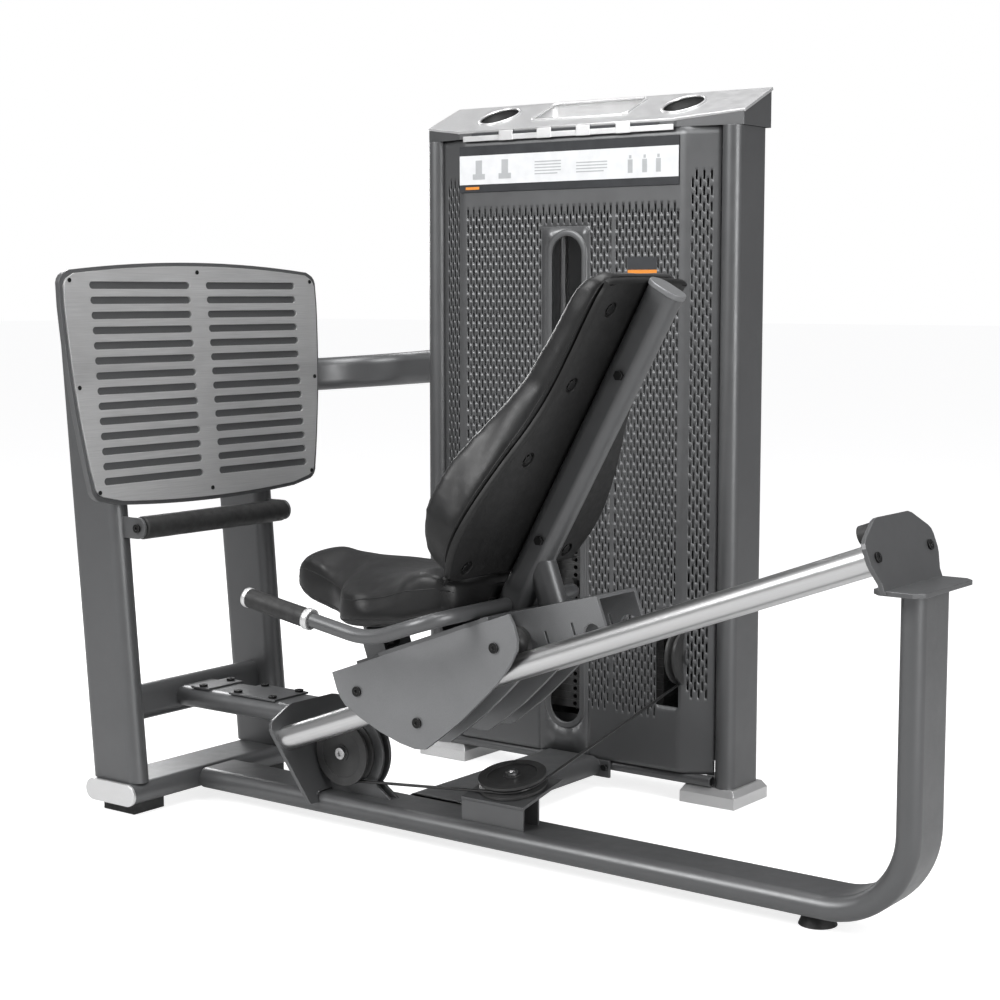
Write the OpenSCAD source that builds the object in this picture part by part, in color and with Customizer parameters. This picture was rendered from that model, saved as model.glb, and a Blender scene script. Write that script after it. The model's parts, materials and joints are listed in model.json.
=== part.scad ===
// Seated leg press. The footplate stays still; the seat and back rest roll
// on two inclined guide rods, and a cable lifts the weight stack in the
// cabinet beside them. Millimetres, +Z up. X runs from the footplate to the
// rear post, Y runs towards the cabinet, and the origin lies on the floor
// under the middle of the whole machine.

/* [Guide rods] */
// Diameter of each guide rod
rod_d = 48; // [46:1:48]
// Distance between the two rod axes
rod_spacing = 200; // [198:1:202]

/* [Footplate] */
// Rows of grip slots in the tread
slot_rows = 14; // [8:1:14]
// Height of one grip slot
slot_h = 15; // [8:1:20]

/* [Weight stack] */
// Plates under the head plate
plate_count = 22; // [18:1:22]
// Plates that the selector pin lifts with the head plate
lifted_count = 6; // [1:1:12]
// Width of one weight plate
plate_w = 462; // [420:2:466]

/* [Cabinet] */
// Height of the cabinet columns and the front panel
cabinet_top = 1424; // [1424:1:1500]
// Width of the window in the front panel
window_w = 78; // [60:1:90]

/* [Pads and grips] */
// Half the width of the seat pad
seat_half = 188; // [170:1:195]
// Length of each rubber grip
grip_len = 198; // [150:1:210]
// Diameter of each rubber grip
grip_d = 40; // [34:1:44]

/* [Hidden] */
$fn = 48;

graphite = "#4a4c50";
plate_grey = "#7d7f82";
silver = "#c4c6c8";
leather = "#1b1b1d";
rubber = "#202022";
steel = "#d8dadc";

// Origin of the layout, moved under the middle of the machine
shift_x = -742.1;
shift_y = -157.75;

wall = 3;
bolt_fit = 0.1;

// Base: cross foot, main beam and bent rear post
foot_x = -48;
foot_half = 246;
beam_z = 46;
beam_top = 68;
beam_w = 124;
beam_t = 44;
foot_w = 140;
post_x = 1648;
post_top = 600;
bend_r = 150;

// Uprights lean away from the user
upright_x = foot_x - 4;
upright_y = 214;
upright_lean = 4.76;
upright_len = 1012;

// Rail tube that carries the front of the rods
rail_tube_z = 218;
rail_tube_x = -43;

// Guide rods: start point, slope and stations along them
rail_angle = 20.2;
rod_x = 351.2;
rod_z = 197.2;
rod_y = rod_spacing / 2;
rod_start = -36;
rod_end = 1332;
rod_bolt_d = 12;
bracket_t = 8;
flange_z = 600;

// Footplate: foot of its front face, its lean and its outline
tread_x = 13;
tread_z = 680;
tread_lean = 4.65;
tread_t = 4;
backing_t = 12;
slot_pitch = 30.4;
slot_first = 24;
slot_inner = 24;
slot_outer = 300;

// Foam roller for the shins
roller_x = 15.3;
roller_z = 602;

// Carriage stations along and above the rods
axle_offset = 45.5;
axle_d = 16;
axle_front_s = 219;
axle_mid_s = 345;
axle_rear_s = 572;
fan_y = 134;
fan_t = 8;
inner_y = 58;
deck_w = 96;
deck_t = 8;
anchor_s = 300;
pin_block_s = 226;
pin_block_y = -78;
pin_block_w = 121;

// Back post: foot point, slope and section
back_x = 793;
back_z = 503;
back_angle = 60.7;
post_front = 12;
post_depth = 70;
post_width = 46;
post_len = 680;
shell_t = 12;

// Cable and pulleys
cable_r = 3;
cable_gap = 0.5;
pulley_y = -27;
front_pulley_x = 408;
front_pulley_z = 154;
groove_r = 58;
corner_x = 789;
corner_y = 30;
corner_z = 143;
corner_tilt = 12;
run_rise = 5.27;
run_x = corner_x + groove_r;
lower_r = 54;
lower_y = 570;
lower_z = 313;
stack_y = 624;
stack_x = 558;
top_r = 44;
top_z = 1330;
pulley_bore = 16;

// Cabinet
column_left = 175;
column_right = 947;
column_y = 620;
column_w = 130;
column_t = 46;
panel_y = 545;
panel_z = 62.5;
column_in_left = column_left + column_t / 2;
column_in_right = column_right - column_t / 2;

// Weight stack
stack_z = 160;
plate_pitch = 17.1;
plate_depth = 90;
head_h = 18.8;
guide_gap = 65;
guide_d = 19;
guide_top = 1262;
stem_d = 22;
pin_d = 10;
head_z = stack_z + plate_count * plate_pitch;
pin_z = stack_z + (plate_count - lifted_count + 0.5) * plate_pitch;

// Handles
handle_d = 28;
handle_x = 812;
handle_z = 496;
handle_out = 152;
handle_drop = 18.7;
handle_rise = 9.4;
handle_bend = 65;
handle_knee = 200;
handle_mid = 100.7;
handle_last = 306;

// ---- Shared shapes ----

module in_place() {
    translate([shift_x, shift_y, 0]) children();
}

module on_rods() {
    translate([rod_x, 0, rod_z]) rotate([0, -rail_angle, 0]) children();
}

module on_back() {
    translate([back_x, 0, back_z]) rotate([0, -back_angle, 0]) children();
}

module on_tread() {
    translate([tread_x, 0, tread_z]) rotate([0, -tread_lean, 0]) children();
}

module on_uprights() {
    translate([upright_x, 0, beam_top]) rotate([0, -upright_lean, 0]) children();
}

module both_sides() {
    children();
    mirror([0, 1, 0]) children();
}

// Outline drawn in X and Z, thick along Y
module slab_xz(y0, t) {
    translate([0, y0 + t, 0]) rotate([90, 0, 0]) linear_extrude(t) children();
}

// Outline drawn in Y and Z, thick along X
module slab_yz(x0, t) {
    translate([x0, 0, 0]) rotate([90, 0, 90]) linear_extrude(t) children();
}

// Stadium outline, w wide and t thick
module flat_oval(w, t) {
    square([w - t, t], center = true);
    for (side = [-1, 1]) translate([side * (w - t) / 2, 0]) circle(d = t);
}

module oval_tube(w, t) {
    difference() {
        flat_oval(w, t);
        flat_oval(w - 2 * wall, t - 2 * wall);
    }
}

// Bar along X and bar along Y through a point
module rod_along_x(d, x0, x1) {
    translate([x0, 0, 0]) rotate([0, 90, 0]) cylinder(d = d, h = x1 - x0);
}

module rod_along_y(d, y0, y1) {
    translate([0, y1, 0]) rotate([90, 0, 0]) cylinder(d = d, h = y1 - y0);
}

// Round-headed socket bolt: the head sits above z = 0, the shank hangs below it
module socket_bolt(d, len, head_d, head_h) {
    difference() {
        cylinder(d = head_d, h = head_h);
        translate([0, 0, head_h * 0.35]) cylinder(d = head_d * 0.5, h = head_h, $fn = 6);
    }
    translate([0, 0, -len]) cylinder(d = d, h = len);
}

// Grooved pulley about Z for the cable, with a shallow recess in each face
module pulley(r, width, rim_in) {
    rim = r + 9;
    hub = 17;
    web = width / 2 - 2;
    groove = cable_r + 0.8;
    rotate_extrude() difference() {
        translate([pulley_bore / 2 + 0.05, -width / 2])
            square([rim - pulley_bore / 2, width]);
        for (side = [-1, 1])
            translate([hub, side > 0 ? web : -web - width])
                square([rim_in - hub, width]);
        translate([r, 0]) circle(r = groove);
        polygon([[r, -groove], [rim + 2, -8], [rim + 2, 8], [r, groove]]);
    }
}

// ---- Base frame ----

module cross_foot() {
    color(graphite) in_place() translate([foot_x, 0, beam_z]) rotate([90, 0, 0])
        linear_extrude(2 * foot_half, center = true) oval_tube(foot_w, beam_t);
}

module foot_end_caps() {
    cap_t = 6;
    color(silver) in_place() both_sides()
        translate([foot_x, -foot_half, beam_z]) rotate([90, 0, 0])
            linear_extrude(cap_t) flat_oval(foot_w + 7, beam_t + 2);
}

// Two blocks under the cross foot and a conical foot under the beam's end
module rubber_feet() {
    block = [92, 84, 24];
    color(rubber) in_place() {
        both_sides() translate([foot_x - block[0] / 2, -227, 0]) cube(block);
        translate([1464, 0, 0]) cylinder(r1 = 34, r2 = 24, h = 24);
    }
}

module main_beam() {
    bend_x = post_x - bend_r;
    beam_x = foot_x + foot_w / 2;
    color(graphite) in_place() {
        translate([0, 0, beam_z]) slab_yz(beam_x, bend_x - beam_x)
            oval_tube(beam_w, beam_t);
        translate([bend_x, 0, beam_z + bend_r]) rotate([90, 0, 0])
            rotate([0, 0, -90]) rotate_extrude(angle = 90)
                translate([bend_r, 0]) rotate(90) oval_tube(beam_w, beam_t);
        translate([post_x, 0, beam_z + bend_r])
            linear_extrude(post_top - beam_z - bend_r)
                rotate(90) oval_tube(beam_w, beam_t);
    }
}

module uprights() {
    lid_t = 3;
    color(graphite) in_place() both_sides() difference() {
        on_uprights() translate([0, upright_y, -20]) {
            linear_extrude(upright_len + 20) oval_tube(foot_w, 50);
            translate([0, 0, upright_len + 20 - lid_t])
                linear_extrude(lid_t) flat_oval(foot_w, 50);
        }
        translate([upright_x - 100, upright_y - 50, 0]) cube([200, 100, beam_top]);
    }
}

module mid_crossbeam() {
    color(graphite) in_place()
        translate([rail_tube_x - 22, 0, rail_tube_z]) rotate([90, 0, 0])
            linear_extrude(2 * (upright_y - 25), center = true)
                rotate(90) oval_tube(76, 44);
}

// Bolts on the rail tube's two cover plates
rail_bolts = [for (x = [18, 121, 220]) for (side = [-1, 1]) [x, side * 41]];

module rail_bolt_holes() {
    for (p = rail_bolts)
        translate([p[0], p[1], rail_tube_z]) cylinder(d = 10 + 2 * bolt_fit, h = 60);
}

module rail_tube() {
    color(graphite) in_place() difference() {
        translate([0, 0, rail_tube_z]) slab_yz(rail_tube_x, 400)
            oval_tube(beam_w, beam_t);
        on_rods() translate([rod_start - bracket_t, -200, -300]) cube([300, 400, 600]);
        rail_bolt_holes();
    }
}

module rail_plates() {
    color(graphite) in_place() difference() {
        for (span = [[-8, 44], [104, 236]])
            translate([span[0], -52, rail_tube_z + beam_t / 2])
                cube([span[1] - span[0], 104, 4]);
        rail_bolt_holes();
    }
}

// Plate across the rods' front ends, with two legs astride the main beam
module front_bracket() {
    leg_top = (beam_top - rod_z - (rod_start - bracket_t) * sin(rail_angle))
        / cos(rail_angle);
    half = [[0, 66], [60, 66], [74, 63], [126, 42], [134, 35], [138, 26],
        [137, 15], [87, -142], [62, -142], [62, leg_top], [0, leg_top]];
    color(graphite) in_place() on_rods() difference() {
        slab_yz(rod_start - bracket_t, bracket_t)
            polygon(concat(half, [for (i = [len(half) - 1 : -1 : 0])
                [-half[i][0], half[i][1]]]));
        both_sides() translate([0, rod_y, 0])
            rod_along_x(rod_bolt_d + 2 * bolt_fit, rod_start - 20, rod_start + 10);
    }
}

// Plate across the rods' rear ends, welded to the flange on the rear post
module rear_bracket() {
    half = [[0, 64], [58, 64], [72, 60], [118, 34], [126, 27], [129, 18],
        [129, -6], [126, -16], [112, -42], [112, -60], [0, -60]];
    color(graphite) in_place() {
        difference() {
            on_rods() slab_yz(rod_end, bracket_t)
                polygon(concat(half, [for (i = [len(half) - 1 : -1 : 0])
                    [-half[i][0], half[i][1]]]));
            on_rods() both_sides() translate([0, rod_y, 0])
                rod_along_x(rod_bolt_d + 2 * bolt_fit, rod_end - 10, rod_end + 20);
            translate([1500, -200, 500]) cube([300, 400, flange_z - 500]);
        }
        translate([0, 0, flange_z]) linear_extrude(8)
            polygon([[1600, -92], [1616, -108], [1674, -108], [1690, -92],
                [1690, 92], [1674, 108], [1616, 108], [1600, 92]]);
    }
}

module guide_rods() {
    bore = rod_d - 10;
    plug = 24;
    color(steel) in_place() on_rods() both_sides() translate([0, rod_y, 0])
        difference() {
            rod_along_x(rod_d, rod_start, rod_end);
            rod_along_x(bore, rod_start + plug, rod_end - plug);
            rod_along_x(rod_bolt_d + 2 * bolt_fit, rod_start - 1, rod_start + 20);
            rod_along_x(rod_bolt_d + 2 * bolt_fit, rod_end - 20, rod_end + 1);
        }
}

// Bumpers for the carriage at the top of the rods, and rings under the stack
module rubber_stops() {
    color(rubber) in_place() {
        on_rods() both_sides() translate([0, 66, 41])
            rod_along_x(36, rod_end - 24, rod_end);
        for (side = [-1, 1]) translate([stack_x + side * guide_gap, stack_y, 140])
            difference() {
                cylinder(d = 58, h = 20);
                translate([0, 0, -1]) cylinder(d = guide_d + 1, h = 22);
            }
    }
}

// ---- Footplate ----

// Half outline of the plate: y against height, grown by g at the edge
function plate_edge(g) = let (top = 444, foot = -16, r = 26) concat(
    [for (i = [0 : 8]) let (y = (346 + g) * i / 8)
        [y, top + 24 + g - 21 * pow(y / 376, 2)]],
    [for (i = [1 : 4]) let (a = 90 - i * 20)
        [348 + g + r * cos(a), top + 3 + g - r + r * sin(a)]],
    [for (i = [1 : 9]) let (k = i / 10)
        [376 + g - 43 * k + 9 * sin(180 * k), top - 24 - (top - 34) * k]],
    [for (i = [0 : 4]) let (a = -i * 18)
        [333 + g - 30 + 30 * cos(a), foot - g + 30 + 30 * sin(a)]],
    [for (i = [7 : -1 : 0]) let (y = (296 + g) * i / 8)
        [y, foot - g - 20 + 17 * pow(y / 333, 2)]]);

module plate_outline(g) {
    half = plate_edge(g);
    polygon(concat(half, [for (i = [len(half) - 2 : -1 : 1]) [-half[i][0], half[i][1]]]));
}

// Screw places on the tread: y against height
screws = [[-351, 429], [0, 447], [351, 429], [-346, 215], [346, 215],
    [-314, 3], [0, -11], [314, 3]];

module screw_holes() {
    for (p = screws) translate([0, p[0], p[1]]) rod_along_x(5, -9, 1);
}

// Dark backing plate with four spacers that reach the uprights
module footplate_back() {
    spacer_gap = 60;
    color(graphite) in_place() difference() {
        on_tread() {
            slab_yz(-tread_t - backing_t, backing_t) plate_outline(0);
            both_sides() for (h = [70, 340])
                translate([-spacer_gap, upright_y - 20, h])
                    cube([spacer_gap - tread_t - backing_t, 40, 60]);
        }
        on_uprights() both_sides() translate([0, upright_y, 0])
            linear_extrude(upright_len) flat_oval(foot_w, 50);
        on_tread() screw_holes();
    }
}

module footplate_tread() {
    slot_mid = (slot_inner + slot_outer) / 2;
    color(silver) in_place() on_tread() difference() {
        slab_yz(-tread_t, tread_t) plate_outline(-8);
        both_sides() for (i = [0 : slot_rows - 1])
            slab_yz(-tread_t - 1, tread_t + 2)
                translate([slot_mid, slot_first + i * slot_pitch])
                    flat_oval(slot_outer - slot_inner, slot_h);
        screw_holes();
    }
}

module foam_roller() {
    color(rubber) in_place() translate([roller_x, 0, roller_z])
        rotate([90, 0, 0]) rotate_extrude()
            polygon([[12.3, -209], [19, -209], [24, -203], [24, 203], [19, 209],
                [12.3, 209]]);
}

// Steel bar through the roller, welded to a plate on each upright
module foam_roller_bar() {
    color(graphite) in_place() difference() {
        translate([roller_x, 0, roller_z]) {
            rod_along_y(24, -212, 212);
            both_sides() slab_xz(-218, 6) {
                circle(d = 44);
                translate([-60, -22]) square([60, 44]);
            }
        }
        on_uprights() both_sides() translate([0, upright_y, 0])
            linear_extrude(upright_len) flat_oval(foot_w, 50);
        translate([roller_x, 0, roller_z]) both_sides()
            rod_along_y(10 + 2 * bolt_fit, -220, -190);
    }
}

// Bent tube from the far upright to the cabinet's front column
module upper_arm() {
    arm_z = 826;
    turn_y = 410;
    turn_r = 190;
    color(graphite) in_place() difference() {
        on_uprights() translate([0, 0, arm_z]) {
            rotate([-90, 0, 0]) translate([0, 0, upright_y + 25])
                linear_extrude(turn_y - upright_y - 25) rotate(90) oval_tube(76, 44);
            translate([turn_r, turn_y, 0]) rotate([0, 0, 90]) rotate_extrude(angle = 90)
                translate([turn_r, 0]) rotate(90) oval_tube(76, 44);
            translate([0, turn_y + turn_r, 0]) slab_yz(turn_r, 120)
                rotate(90) oval_tube(76, 44);
        }
        translate([column_left - column_t / 2, 500, 700]) cube([200, 200, 400]);
    }
}

// Wide tube from the main beam to the cabinet, with its gusset and end plate
module lateral_beam() {
    beam_x = 574.5;
    color(graphite) in_place() {
        translate([beam_x, beam_w / 2, beam_z]) rotate([-90, 0, 0])
            linear_extrude(541 - beam_w / 2) oval_tube(153, beam_t);
        translate([0, 0, beam_top - 6]) linear_extrude(6)
            polygon([[640, 62], [815, 62], [815, 72], [700, 130], [651, 200], [640, 200]]);
        translate([490, 541, 24]) cube([185, 6.5, 38]);
    }
}

// ---- Bolts of the frame and screws of the footplate ----

module frame_bolts() {
    color(steel) in_place() {
        for (p = rail_bolts) translate([p[0], p[1], rail_tube_z + beam_t / 2 + 4])
            socket_bolt(10, 14, 18, 5);
        on_rods() both_sides() translate([0, rod_y, 0]) {
            translate([rod_start - bracket_t, 0, 0]) rotate([0, -90, 0])
                socket_bolt(rod_bolt_d, 24, 18, 4);
            translate([rod_end + bracket_t, 0, 0]) rotate([0, 90, 0])
                socket_bolt(rod_bolt_d, 24, 18, 4);
        }
        both_sides() translate([roller_x, -218, roller_z]) rotate([90, 0, 0])
            socket_bolt(10, 20, 18, 5);
        translate([664, 541, 47]) rotate([90, 0, 0]) cylinder(d = 16, h = 7, $fn = 6);
        on_tread() for (p = screws) translate([0, p[0], p[1]]) {
            rod_along_x(4.8, -8.5, 0);
            rod_along_x(9, 0, 1.6);
        }
    }
}

// ---- Cable drive ----

// Cheeks of the front pulley, rising from the main beam
module front_pulley_cheeks() {
    color(graphite) in_place() difference() {
        both_sides() slab_xz(-13.5, 6) difference() {
            union() {
                translate([front_pulley_x, front_pulley_z]) circle(r = 88);
                polygon([[300, beam_top], [341, 96], [475, 96], [516, beam_top]]);
            }
            translate([200, 0]) square([400, beam_top]);
        }
        translate([front_pulley_x, 0, front_pulley_z])
            rod_along_y(pulley_bore + 2 * bolt_fit, -20, 20);
        on_rods() translate([-300, -50, -300]) cube([300 + rod_start, 100, 600]);
    }
}

module front_pulley() {
    color(plate_grey) in_place()
        translate([front_pulley_x, pulley_y, front_pulley_z])
            rotate([90, 0, 0]) pulley(groove_r, 25, 50);
}

// Local frame of the corner pulley, tipped up towards the cabinet
module on_corner() {
    translate([corner_x, corner_y, corner_z]) rotate([corner_tilt, 0, 0]) children();
}

// Sloping plate under the corner pulley with two flanges down to the beam
module corner_pulley_mount() {
    plate_low = -20;
    plate_x = 715;
    plate_len = 147;
    color(graphite) in_place() difference() {
        union() {
            on_corner() translate([plate_x - corner_x, -74, plate_low])
                cube([plate_len, 136, 6]);
            for (y = [-37, 12]) difference() {
                translate([plate_x, y, beam_top]) cube([plate_len, 4, 80]);
                on_corner() translate([-200, -200, plate_low + 3]) cube([400, 400, 200]);
            }
        }
        on_corner() translate([0, 0, -60])
            cylinder(d = pulley_bore + 2 * bolt_fit, h = 100);
    }
}

module corner_pulley() {
    color(plate_grey) in_place() on_corner() pulley(groove_r, 25, 50);
}

// Cheeks and back plate that hang the lower pulley on the rear column
module lower_pulley_bracket() {
    color(graphite) in_place() {
        for (x = [828, 861]) slab_yz(x, 5) difference() {
            union() {
                translate([lower_y, lower_z]) circle(r = 26);
                translate([lower_y, lower_z - 26]) square([650 - lower_y, 52]);
            }
            translate([lower_y, lower_z]) circle(d = pulley_bore + 2 * bolt_fit);
        }
        translate([828, 650, lower_z - 26]) cube([column_in_right - 828, 5, 52]);
    }
}

module lower_pulley() {
    color(plate_grey) in_place() translate([run_x, lower_y, lower_z])
        rotate([0, 90, 0]) pulley(lower_r, 24, 46);
}

// X places of the two top pulleys
top_outer_x = run_x - top_r;
top_inner_x = stack_x + top_r;

// Tube between the column tops with the hangers of the two top pulleys
module top_pulley_beam() {
    beam_low = 1384;
    color(graphite) in_place() {
        difference() {
            translate([column_in_left, 600, beam_low])
                cube([column_in_right - column_in_left, 48, 36]);
            translate([column_in_left - 1, 604, beam_low + 4])
                cube([column_in_right - column_in_left + 2, 40, 28]);
        }
        for (x = [top_outer_x, top_inner_x]) for (y = [606, 637])
            difference() {
                translate([x - 25, y, top_z - 25]) cube([50, 5, beam_low - top_z + 25]);
                translate([x, 0, top_z])
                    rod_along_y(pulley_bore + 2 * bolt_fit, 590, 660);
            }
    }
}

module top_pulley_outer() {
    color(plate_grey) in_place() translate([top_outer_x, stack_y, top_z])
        rotate([90, 0, 0]) pulley(top_r, 24, 37);
}

module top_pulley_inner() {
    color(plate_grey) in_place() translate([top_inner_x, stack_y, top_z])
        rotate([90, 0, 0]) pulley(top_r, 24, 37);
}

// Axle bolts of the five pulleys, each with a plain collar at its far end
module pulley_bolts() {
    color(steel) in_place() {
        translate([front_pulley_x, 0, front_pulley_z]) {
            translate([0, -40, 0]) rotate([90, 0, 0]) socket_bolt(pulley_bore, 53.5, 24, 5);
            rod_along_y(26, 13.5, 21);
        }
        on_corner() {
            translate([0, 0, 13]) socket_bolt(pulley_bore, 33, 24, 5);
            translate([0, 0, -28]) cylinder(d = 26, h = 8);
        }
        translate([0, lower_y, lower_z]) {
            rod_along_x(pulley_bore, 822, 872);
            rod_along_x(26, 822, 828);
            rod_along_x(26, 866, 872);
        }
        for (x = [top_outer_x, top_inner_x]) translate([x, 0, top_z]) {
            rod_along_y(pulley_bore, 600, 648);
            rod_along_y(26, 600, 606);
            rod_along_y(26, 642, 648);
        }
    }
}

// Cable centre line, computed round each pulley in turn
function front_arc(a) = [front_pulley_x + groove_r * cos(a), pulley_y,
    front_pulley_z + groove_r * sin(a)];
function corner_arc(a) = [corner_x + groove_r * cos(a),
    corner_y + groove_r * sin(a) * cos(corner_tilt),
    corner_z + groove_r * sin(a) * sin(corner_tilt)];
function lower_arc(a) = [run_x, lower_y + lower_r * cos(a), lower_z + lower_r * sin(a)];
function top_arc(x, a) = [x + top_r * cos(a), stack_y, top_z + top_r * sin(a)];

front_from = 90 + rail_angle;
front_to = 270 + run_rise;
lower_from = corner_tilt - 90;
fixed_route = concat(
    [for (i = [0 : 14]) front_arc(front_from + (front_to - front_from) * i / 14)],
    [for (i = [0 : 8]) corner_arc(-90 + 90 * i / 8)],
    [for (i = [0 : 7]) lower_arc(lower_from - lower_from * i / 7)],
    [for (i = [0 : 7]) top_arc(top_outer_x, 90 * i / 7)],
    [for (i = [0 : 7]) top_arc(top_inner_x, 90 + 90 * i / 7)]);

function unit(v) = v / norm(v);
function heading(p, i) = unit(p[min(i + 1, len(p) - 1)] - p[max(i - 1, 0)]);
// Normal carried along the route from a first one, kept square to the heading
function carried(p, i, first) = i == 0 ? first :
    let (n = carried(p, i - 1, first), h = heading(p, i)) unit(n - (n * h) * h);

// Round tube swept along a list of points
module swept_tube(p, r, sides, first) {
    n = len(p);
    rings = [for (i = [0 : n - 1]) let (h = heading(p, i), u = carried(p, i, first),
        v = cross(h, u)) for (k = [0 : sides - 1]) let (a = 360 * k / sides)
            p[i] + r * cos(a) * u + r * sin(a) * v];
    skin = [for (i = [0 : n - 2]) for (k = [0 : sides - 1])
        let (a = i * sides + k, b = i * sides + (k + 1) % sides)
            [a, a + sides, b + sides, b]];
    ends = [[for (k = [0 : sides - 1]) k],
        [for (k = [sides - 1 : -1 : 0]) (n - 1) * sides + k]];
    polyhedron(rings, concat(skin, ends));
}

module fixed_cable() {
    color("black") in_place() swept_tube(fixed_route, cable_r, 8,
        unit(cross(heading(fixed_route, 0), [0, 1, 0])));
}

// Straight run from the front pulley up to the anchor in the carriage
pulley_s = (front_pulley_x - rod_x) * cos(rail_angle)
    + (front_pulley_z - rod_z) * sin(rail_angle);
pulley_w = (front_pulley_z - rod_z) * cos(rail_angle)
    - (front_pulley_x - rod_x) * sin(rail_angle);
cable_w = pulley_w + groove_r;

module carriage_cable() {
    color("black") in_place() on_rods() translate([0, pulley_y, cable_w])
        rod_along_x(2 * cable_r, pulley_s + cable_gap, anchor_s);
}

// Straight run from the inner top pulley down to the head of the stack
module stack_cable() {
    color("black") in_place() translate([stack_x, stack_y, head_z + head_h + 34])
        cylinder(r = cable_r, h = top_z - head_z - head_h - 34 - cable_gap);
}

// ---- Cabinet ----

module cabinet_columns() {
    color(graphite) in_place() for (x = [column_left, column_right])
        translate([x, column_y, 38]) linear_extrude(cabinet_top - 38)
            rotate(90) oval_tube(column_w, column_t);
}

// Cast shoes with sloping rims, one under each column
module cabinet_shoes() {
    rim = 9;
    color(silver) in_place() for (x0 = [137, 852]) intersection() {
        slab_xz(540, 160) polygon([[x0, 0], [x0 + 133, 0], [x0 + 133, 24],
            [x0 + 133 - rim, 38], [x0 + rim, 38], [x0, 24]]);
        slab_yz(x0 - 1, 136) polygon([[547, 0], [690, 0], [690, 24],
            [690 - rim, 38], [547 + rim, 38], [547, 24]]);
    }
}

// Round tube under the panels, square tube that carries the stack and flat
// bar that holds the upper ends of its guide rods
module cabinet_cross_tubes() {
    span = column_in_right - column_in_left;
    color(graphite) in_place() {
        translate([0, 559.5, 50.2]) difference() {
            rod_along_x(24, column_in_left, column_in_right);
            rod_along_x(18, column_in_left - 1, column_in_right + 1);
        }
        difference() {
            translate([column_in_left, 600, 96]) cube([span, 46, 44]);
            translate([column_in_left - 1, 604, 100]) cube([span + 2, 38, 36]);
        }
        difference() {
            translate([column_in_left, 600, guide_top - 8]) cube([span, 48, 8]);
            for (side = [-1, 1])
                translate([stack_x + side * guide_gap, stack_y, guide_top - 9])
                    cylinder(d = guide_d + 1, h = 10);
            for (x = [stack_x, run_x])
                translate([x, stack_y, guide_top - 9]) cylinder(d = 4 * cable_r, h = 10);
        }
    }
}

// Plan of the folded front panel
panel_line = [[column_in_left, 569], [272, panel_y], [847, panel_y], [column_in_right, 569]];

module front_panel() {
    sheet = 2;
    window_low = 133;
    window_high = 1205;
    window_mid = (window_low + window_high) / 2;
    window_h = window_high - window_low;
    color(graphite) in_place() difference() {
        union() {
            translate([0, 0, panel_z]) linear_extrude(cabinet_top - panel_z)
                polygon(concat(panel_line, [for (i = [3 : -1 : 0])
                    panel_line[i] + [0, sheet]]));
            slab_xz(panel_y - 3, 3) translate([555, window_mid])
                rotate(90) flat_oval(window_h + 29, window_w + 29);
        }
        slab_xz(panel_y - 10, 20) translate([555, window_mid])
            rotate(90) flat_oval(window_h, window_w);
        translate([788, 530, 205]) cube([81, 40, 190]);
    }
}

// Folded sheet that closes the back of the cabinet
module rear_panel() {
    back_y = 688;
    sheet = 2;
    line = [[column_in_left, 671], [272, back_y], [847, back_y], [column_in_right, 671]];
    color(graphite) in_place() translate([0, 0, panel_z])
        linear_extrude(cabinet_top - panel_z)
            polygon(concat(line, [for (i = [3 : -1 : 0]) line[i] - [0, sheet]]));
}

module placard() {
    corner = 8;
    color("#2b2d31") in_place() slab_xz(panel_y - 2, 2) difference() {
        translate([262, 1306]) square([576, 102]);
        for (x = [262, 838]) for (z = [1306, 1408]) translate([x, z])
            rotate(45) square(corner * 1.4, center = true);
    }
}

// Sloping tray with two cup holders and a pocket
module top_tray() {
    deck = cabinet_top + 21;
    rise = 65;
    color(silver) in_place() difference() {
        intersection() {
            translate([0, 0, cabinet_top]) linear_extrude(200)
                polygon([[150, 570], [256, 541], [262, 538], [826, 538], [832, 541],
                    [976, 570], [976, 690], [150, 690]]);
            slab_yz(140, 850) polygon([[530, cabinet_top], [530, deck - 6],
                [545, deck], [690, deck + rise], [690, cabinet_top]]);
        }
        for (x = [320, 803]) translate([x, 617, cabinet_top + 6])
            cylinder(d = 92, h = 120);
        translate([430, 580, cabinet_top + 16]) cube([250, 98, 120]);
    }
}

module stack_guide_rods() {
    color(steel) in_place() for (side = [-1, 1])
        translate([stack_x + side * guide_gap, stack_y, 140])
            cylinder(d = guide_d, h = guide_top - 140);
}

// One weight plate with its guide bores, stem bore and pin hole
module weight_plate(z, h) {
    difference() {
        translate([stack_x - plate_w / 2, stack_y - plate_depth / 2, z])
            cube([plate_w, plate_depth, h]);
        for (side = [-1, 1])
            translate([stack_x + side * guide_gap, stack_y, z - 1])
                cylinder(d = guide_d + 1, h = h + 2);
        translate([stack_x, stack_y, z - 1]) cylinder(d = stem_d + 1, h = h + 2);
        translate([stack_x, 0, z + h / 2])
            rod_along_y(pin_d + 0.6, stack_y - plate_depth / 2 - 1, stack_y + 26);
    }
}

module resting_plates() {
    color(graphite) in_place() for (i = [0 : plate_count - lifted_count - 1])
        weight_plate(stack_z + i * plate_pitch, plate_pitch - 0.3);
}

module lifted_plates() {
    color(graphite) in_place()
        for (i = [plate_count - lifted_count : plate_count - 1])
            weight_plate(stack_z + i * plate_pitch, plate_pitch - 0.3);
}

module stack_head() {
    color(graphite) in_place() difference() {
        translate([stack_x - plate_w / 2, stack_y - plate_depth / 2, head_z])
            cube([plate_w, plate_depth, head_h]);
        for (side = [-1, 1])
            translate([stack_x + side * guide_gap, stack_y, head_z - 1])
                cylinder(d = guide_d + 1, h = head_h + 2);
        translate([stack_x, stack_y, head_z - 1]) cylinder(d = stem_d, h = head_h + 2);
    }
}

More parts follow.
